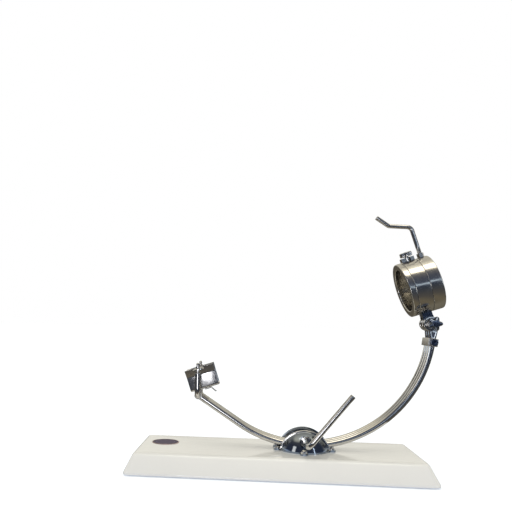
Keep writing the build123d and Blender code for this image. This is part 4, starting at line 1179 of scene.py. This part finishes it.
@dataclass(frozen=True)
class Studio:
    """The floor, the lights and the camera."""

    lens: float = 42.96
    shift: tuple[float, float] = (0.1426, 0.1055)
    place: tuple[float, float, float] = (-0.0590, -1.0409, 0.2402)
    turn_deg: tuple[float, float, float] = (6.3, 1.2, -0.9)

    def build(self) -> None:
        """Sets the camera, the lights, the floor and the sky."""
        self.camera()
        self.lights()
        self.floor()
        self.sky()

    def camera(self) -> None:
        """A camera turned about Z, then X, then Y, level with the middle of the stand."""
        data = bpy.data.cameras.new("camera")
        data.lens, data.sensor_width = self.lens, 36.0
        data.shift_x, data.shift_y = self.shift
        data.clip_end = 60.0
        camera = bpy.data.objects.new("camera", data)
        bpy.context.scene.collection.objects.link(camera)
        z, x, y = (radians(a) for a in self.turn_deg)
        turn = Matrix.Rotation(z, 4, "Z") @ Matrix.Rotation(x, 4, "X") @ Matrix.Rotation(y, 4, "Y")
        camera.matrix_world = Matrix.Translation(self.place) @ turn @ Matrix.Rotation(pi / 2, 4, "X")
        bpy.context.scene.camera = camera

    def lamp(self, name: str, place: tuple[float, float, float], aim: tuple[float, float, float],
             size: tuple[float, float], power: float, colour: tuple[float, float, float],
             soft: bool = True) -> None:
        """A soft rectangular lamp, turned to a point.

        Args:
            name: the lamp's name.
            place: where it stands.
            aim: the point that it looks at.
            size: its width and height.
            power: its power in watts.
            colour: its colour.
            soft: whether matt surfaces get its light too, or only polished ones.
        """
        data = bpy.data.lights.new(name, "AREA")
        data.shape, data.size, data.size_y = "RECTANGLE", *size
        data.energy, data.color = power, colour
        lamp = bpy.data.objects.new(name, data)
        bpy.context.scene.collection.objects.link(lamp)
        lamp.visible_diffuse = soft
        lamp.location = place
        lamp.rotation_euler = (Vector(aim) - Vector(place)).to_track_quat("-Z", "Y").to_euler()

    def lights(self) -> None:
        """A wide lamp above, and three for polished metal: left, right and in front of the saddle."""
        aim = (0.05, 0, 0.18)
        self.lamp("top_box", (0.1, -0.5, 1.9), aim, (1.3, 0.7), 5, (1.0, 0.95, 0.84))
        self.lamp("left_box", (-1.5, -1.3, 1.0), aim, (0.5, 0.9), 3, (1.0, 0.93, 0.82), soft=False)
        self.lamp("right_strip", (1.3, -1.4, 0.6), aim, (0.10, 1.2), 1.6, (0.82, 0.9, 1.0), soft=False)
        self.lamp("saddle_card", (-0.17, -1.04, 0.10), (-0.144, 0, 0.145), (0.34, 0.20), 0.95,
                  (0.95, 0.96, 1.0), soft=False)

    def floor(self) -> None:
        """A round pale floor, made as rings about the stand; polished metal doesn't show it."""
        t = np.linspace(0, TAU, 97)
        rings = np.array([0.0, 0.5, 1.0, 2.0, 4.0, 12.0, 40.0])[:, None]
        grid = np.stack([rings * np.cos(t), rings * np.sin(t), np.zeros((len(rings), len(t)))], axis=-1)
        floor = build_mesh("studio_floor", [grid])
        n = Nodes("studio_floor")
        cloud = n.noise(n.where(Coords.OBJECT), 3.0, 3.0)
        floor.data.materials.append(n.shade(Base_Color=n.tint(cloud, (0.87, 0.90, 0.96), (0.89, 0.92, 0.98)),
                                            Roughness=0.9, Specular_IOR_Level=0.1, Emission_Strength=0.24,
                                            Emission_Color=(0.80, 0.88, 1.0, 1.0)))
        normals = np.empty(3 * len(floor.data.polygons), np.float32)
        floor.data.polygons.foreach_get("normal", normals)
        if normals.reshape(-1, 3)[:, 2].mean() < 0:
            floor.data.flip_normals()
        floor.visible_glossy = False

    def ramp(self, tree: bpy.types.NodeTree, factor: Any,
             stops: list[tuple[float, tuple[float, ...]]]) -> Any:
        """A background whose colour follows a factor through stops in order.

        Args:
            tree: the world's nodes.
            factor: the output that drives it.
            stops: places from 0 to 1 and their colours.

        Returns:
            The background's output.
        """
        node = tree.nodes.new("ShaderNodeValToRGB")
        elements = node.color_ramp.elements
        for element, (place, colour) in zip(elements, (stops[0], stops[-1])):
            element.position, element.color = place, (*colour, 1)
        for place, colour in stops[1:-1]:
            elements.new(place).color = (*colour, 1)
        tree.links.new(factor, node.inputs[0])
        light = tree.nodes.new("ShaderNodeBackground")
        tree.links.new(node.outputs[0], light.inputs["Color"])
        return light

    def sky(self) -> None:
        """A pale sky. Polished metal shows a room: dark walls, a cool window and a warm ceiling."""
        world = bpy.data.worlds.new("studio")
        world.use_nodes = True
        bpy.context.scene.world = world
        tree, link = world.node_tree, world.node_tree.links.new
        tree.nodes.clear()
        out = tree.nodes.new("ShaderNodeOutputWorld")
        coords = tree.nodes.new("ShaderNodeTexCoord")
        ripple = tree.nodes.new("ShaderNodeTexNoise")
        ripple.inputs["Scale"].default_value = 1.6
        link(coords.outputs["Generated"], ripple.inputs["Vector"])
        axes = tree.nodes.new("ShaderNodeSeparateXYZ")
        link(coords.outputs["Generated"], axes.inputs[0])
        rise = self.level(tree, axes.outputs[2], 0.5, 0.5)
        bent = tree.nodes.new("ShaderNodeMath")
        bent.operation = "ADD"
        link(rise, bent.inputs[0])
        link(self.level(tree, ripple.outputs[0], 0.10, -0.05), bent.inputs[1])
        room = self.ramp(tree, bent.outputs[0], [
            (0.0, (0.10, 0.09, 0.07)), (0.10, (0.15, 0.13, 0.09)), (0.20, (0.085, 0.08, 0.075)),
            (0.33, (0.05, 0.055, 0.065)), (0.50, (0.025, 0.035, 0.06)), (0.56, (0.035, 0.05, 0.09)),
            (0.575, (0.70, 0.84, 1.0)), (0.60, (0.65, 0.80, 1.0)), (0.615, (0.045, 0.06, 0.10)),
            (0.80, (0.06, 0.07, 0.10)), (0.90, (0.13, 0.13, 0.14)), (0.945, (1.0, 0.93, 0.72)),
            (0.985, (1.0, 0.95, 0.80)), (1.0, (0.72, 0.69, 0.60))])
        room.inputs["Strength"].default_value = 1.2
        wall = self.ramp(tree, bent.outputs[0], [
            (0.0, (0.25, 0.23, 0.18)), (0.47, (0.10, 0.09, 0.07)), (0.53, (0.13, 0.12, 0.10)),
            (0.575, (0.82, 0.80, 0.72)), (0.64, (0.80, 0.78, 0.70)), (0.70, (0.30, 0.28, 0.21)),
            (0.78, (0.62, 0.60, 0.52)), (1.0, (0.62, 0.59, 0.51))])
        behind = self.mix(tree, self.level(tree, axes.outputs[1], 2.5, 0.2), room, wall)
        soft = self.ramp(tree, rise, [
            (0.0, (0.80, 0.80, 0.86)), (0.5, (0.80, 0.81, 0.93)), (0.75, (0.98, 0.95, 0.87)),
            (1.0, (1.0, 0.965, 0.81))])
        soft.inputs["Strength"].default_value = 1.0
        seen = tree.nodes.new("ShaderNodeBackground")
        seen.inputs["Color"].default_value = (1, 1, 1, 1)
        path = tree.nodes.new("ShaderNodeLightPath")
        shiny = self.mix(tree, path.outputs["Is Glossy Ray"], soft, behind)
        link(self.mix(tree, path.outputs["Is Camera Ray"], shiny, seen).outputs[0], out.inputs[0])
        bpy.context.scene.view_settings.view_transform = "Standard"

    def level(self, tree: bpy.types.NodeTree, value: Any, scale: float, shift: float) -> Any:
        """A value times scale plus shift, held between 0 and 1 where scale is over 1."""
        node = tree.nodes.new("ShaderNodeMath")
        node.operation = "MULTIPLY_ADD"
        node.use_clamp = scale > 1
        node.inputs[1].default_value, node.inputs[2].default_value = scale, shift
        tree.links.new(value, node.inputs[0])
        return node.outputs[0]

    def mix(self, tree: bpy.types.NodeTree, factor: Any, first: Any, second: Any) -> Any:
        """The node that mixes two lights by a factor."""
        node = tree.nodes.new("ShaderNodeMixShader")
        tree.links.new(factor, node.inputs[0])
        tree.links.new(first.outputs[0], node.inputs[1])
        tree.links.new(second.outputs[0], node.inputs[2])
        return node


def corners(pair: tuple[Vector, Vector]) -> list[list[float]]:
    """A box's two corners as plain lists of numbers."""
    return [[float(v) for v in corner] for corner in pair]


def main() -> None:
    """Loads the frame, builds each sub-assembly and sets the studio."""
    logging.basicConfig(level=logging.INFO, format="%(name)s: %(message)s")
    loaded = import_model()
    low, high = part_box("badge_disc")
    middle = (low + high) / 2
    frame = Frame(loaded, Shop((middle.x, middle.y), (high.x - low.x) / 2))
    for part in (Board, Arch, Dome, Lever, Ring, Crank, StarKnob, ThumbScrew, Cradle, Collar):
        part(frame).build()
    shown = {name for name, node in loaded["nodes"].items() if node.hide_render}
    Plain(frame).dress(shown)
    Studio().build()


if __name__ == "__main__":
    main()
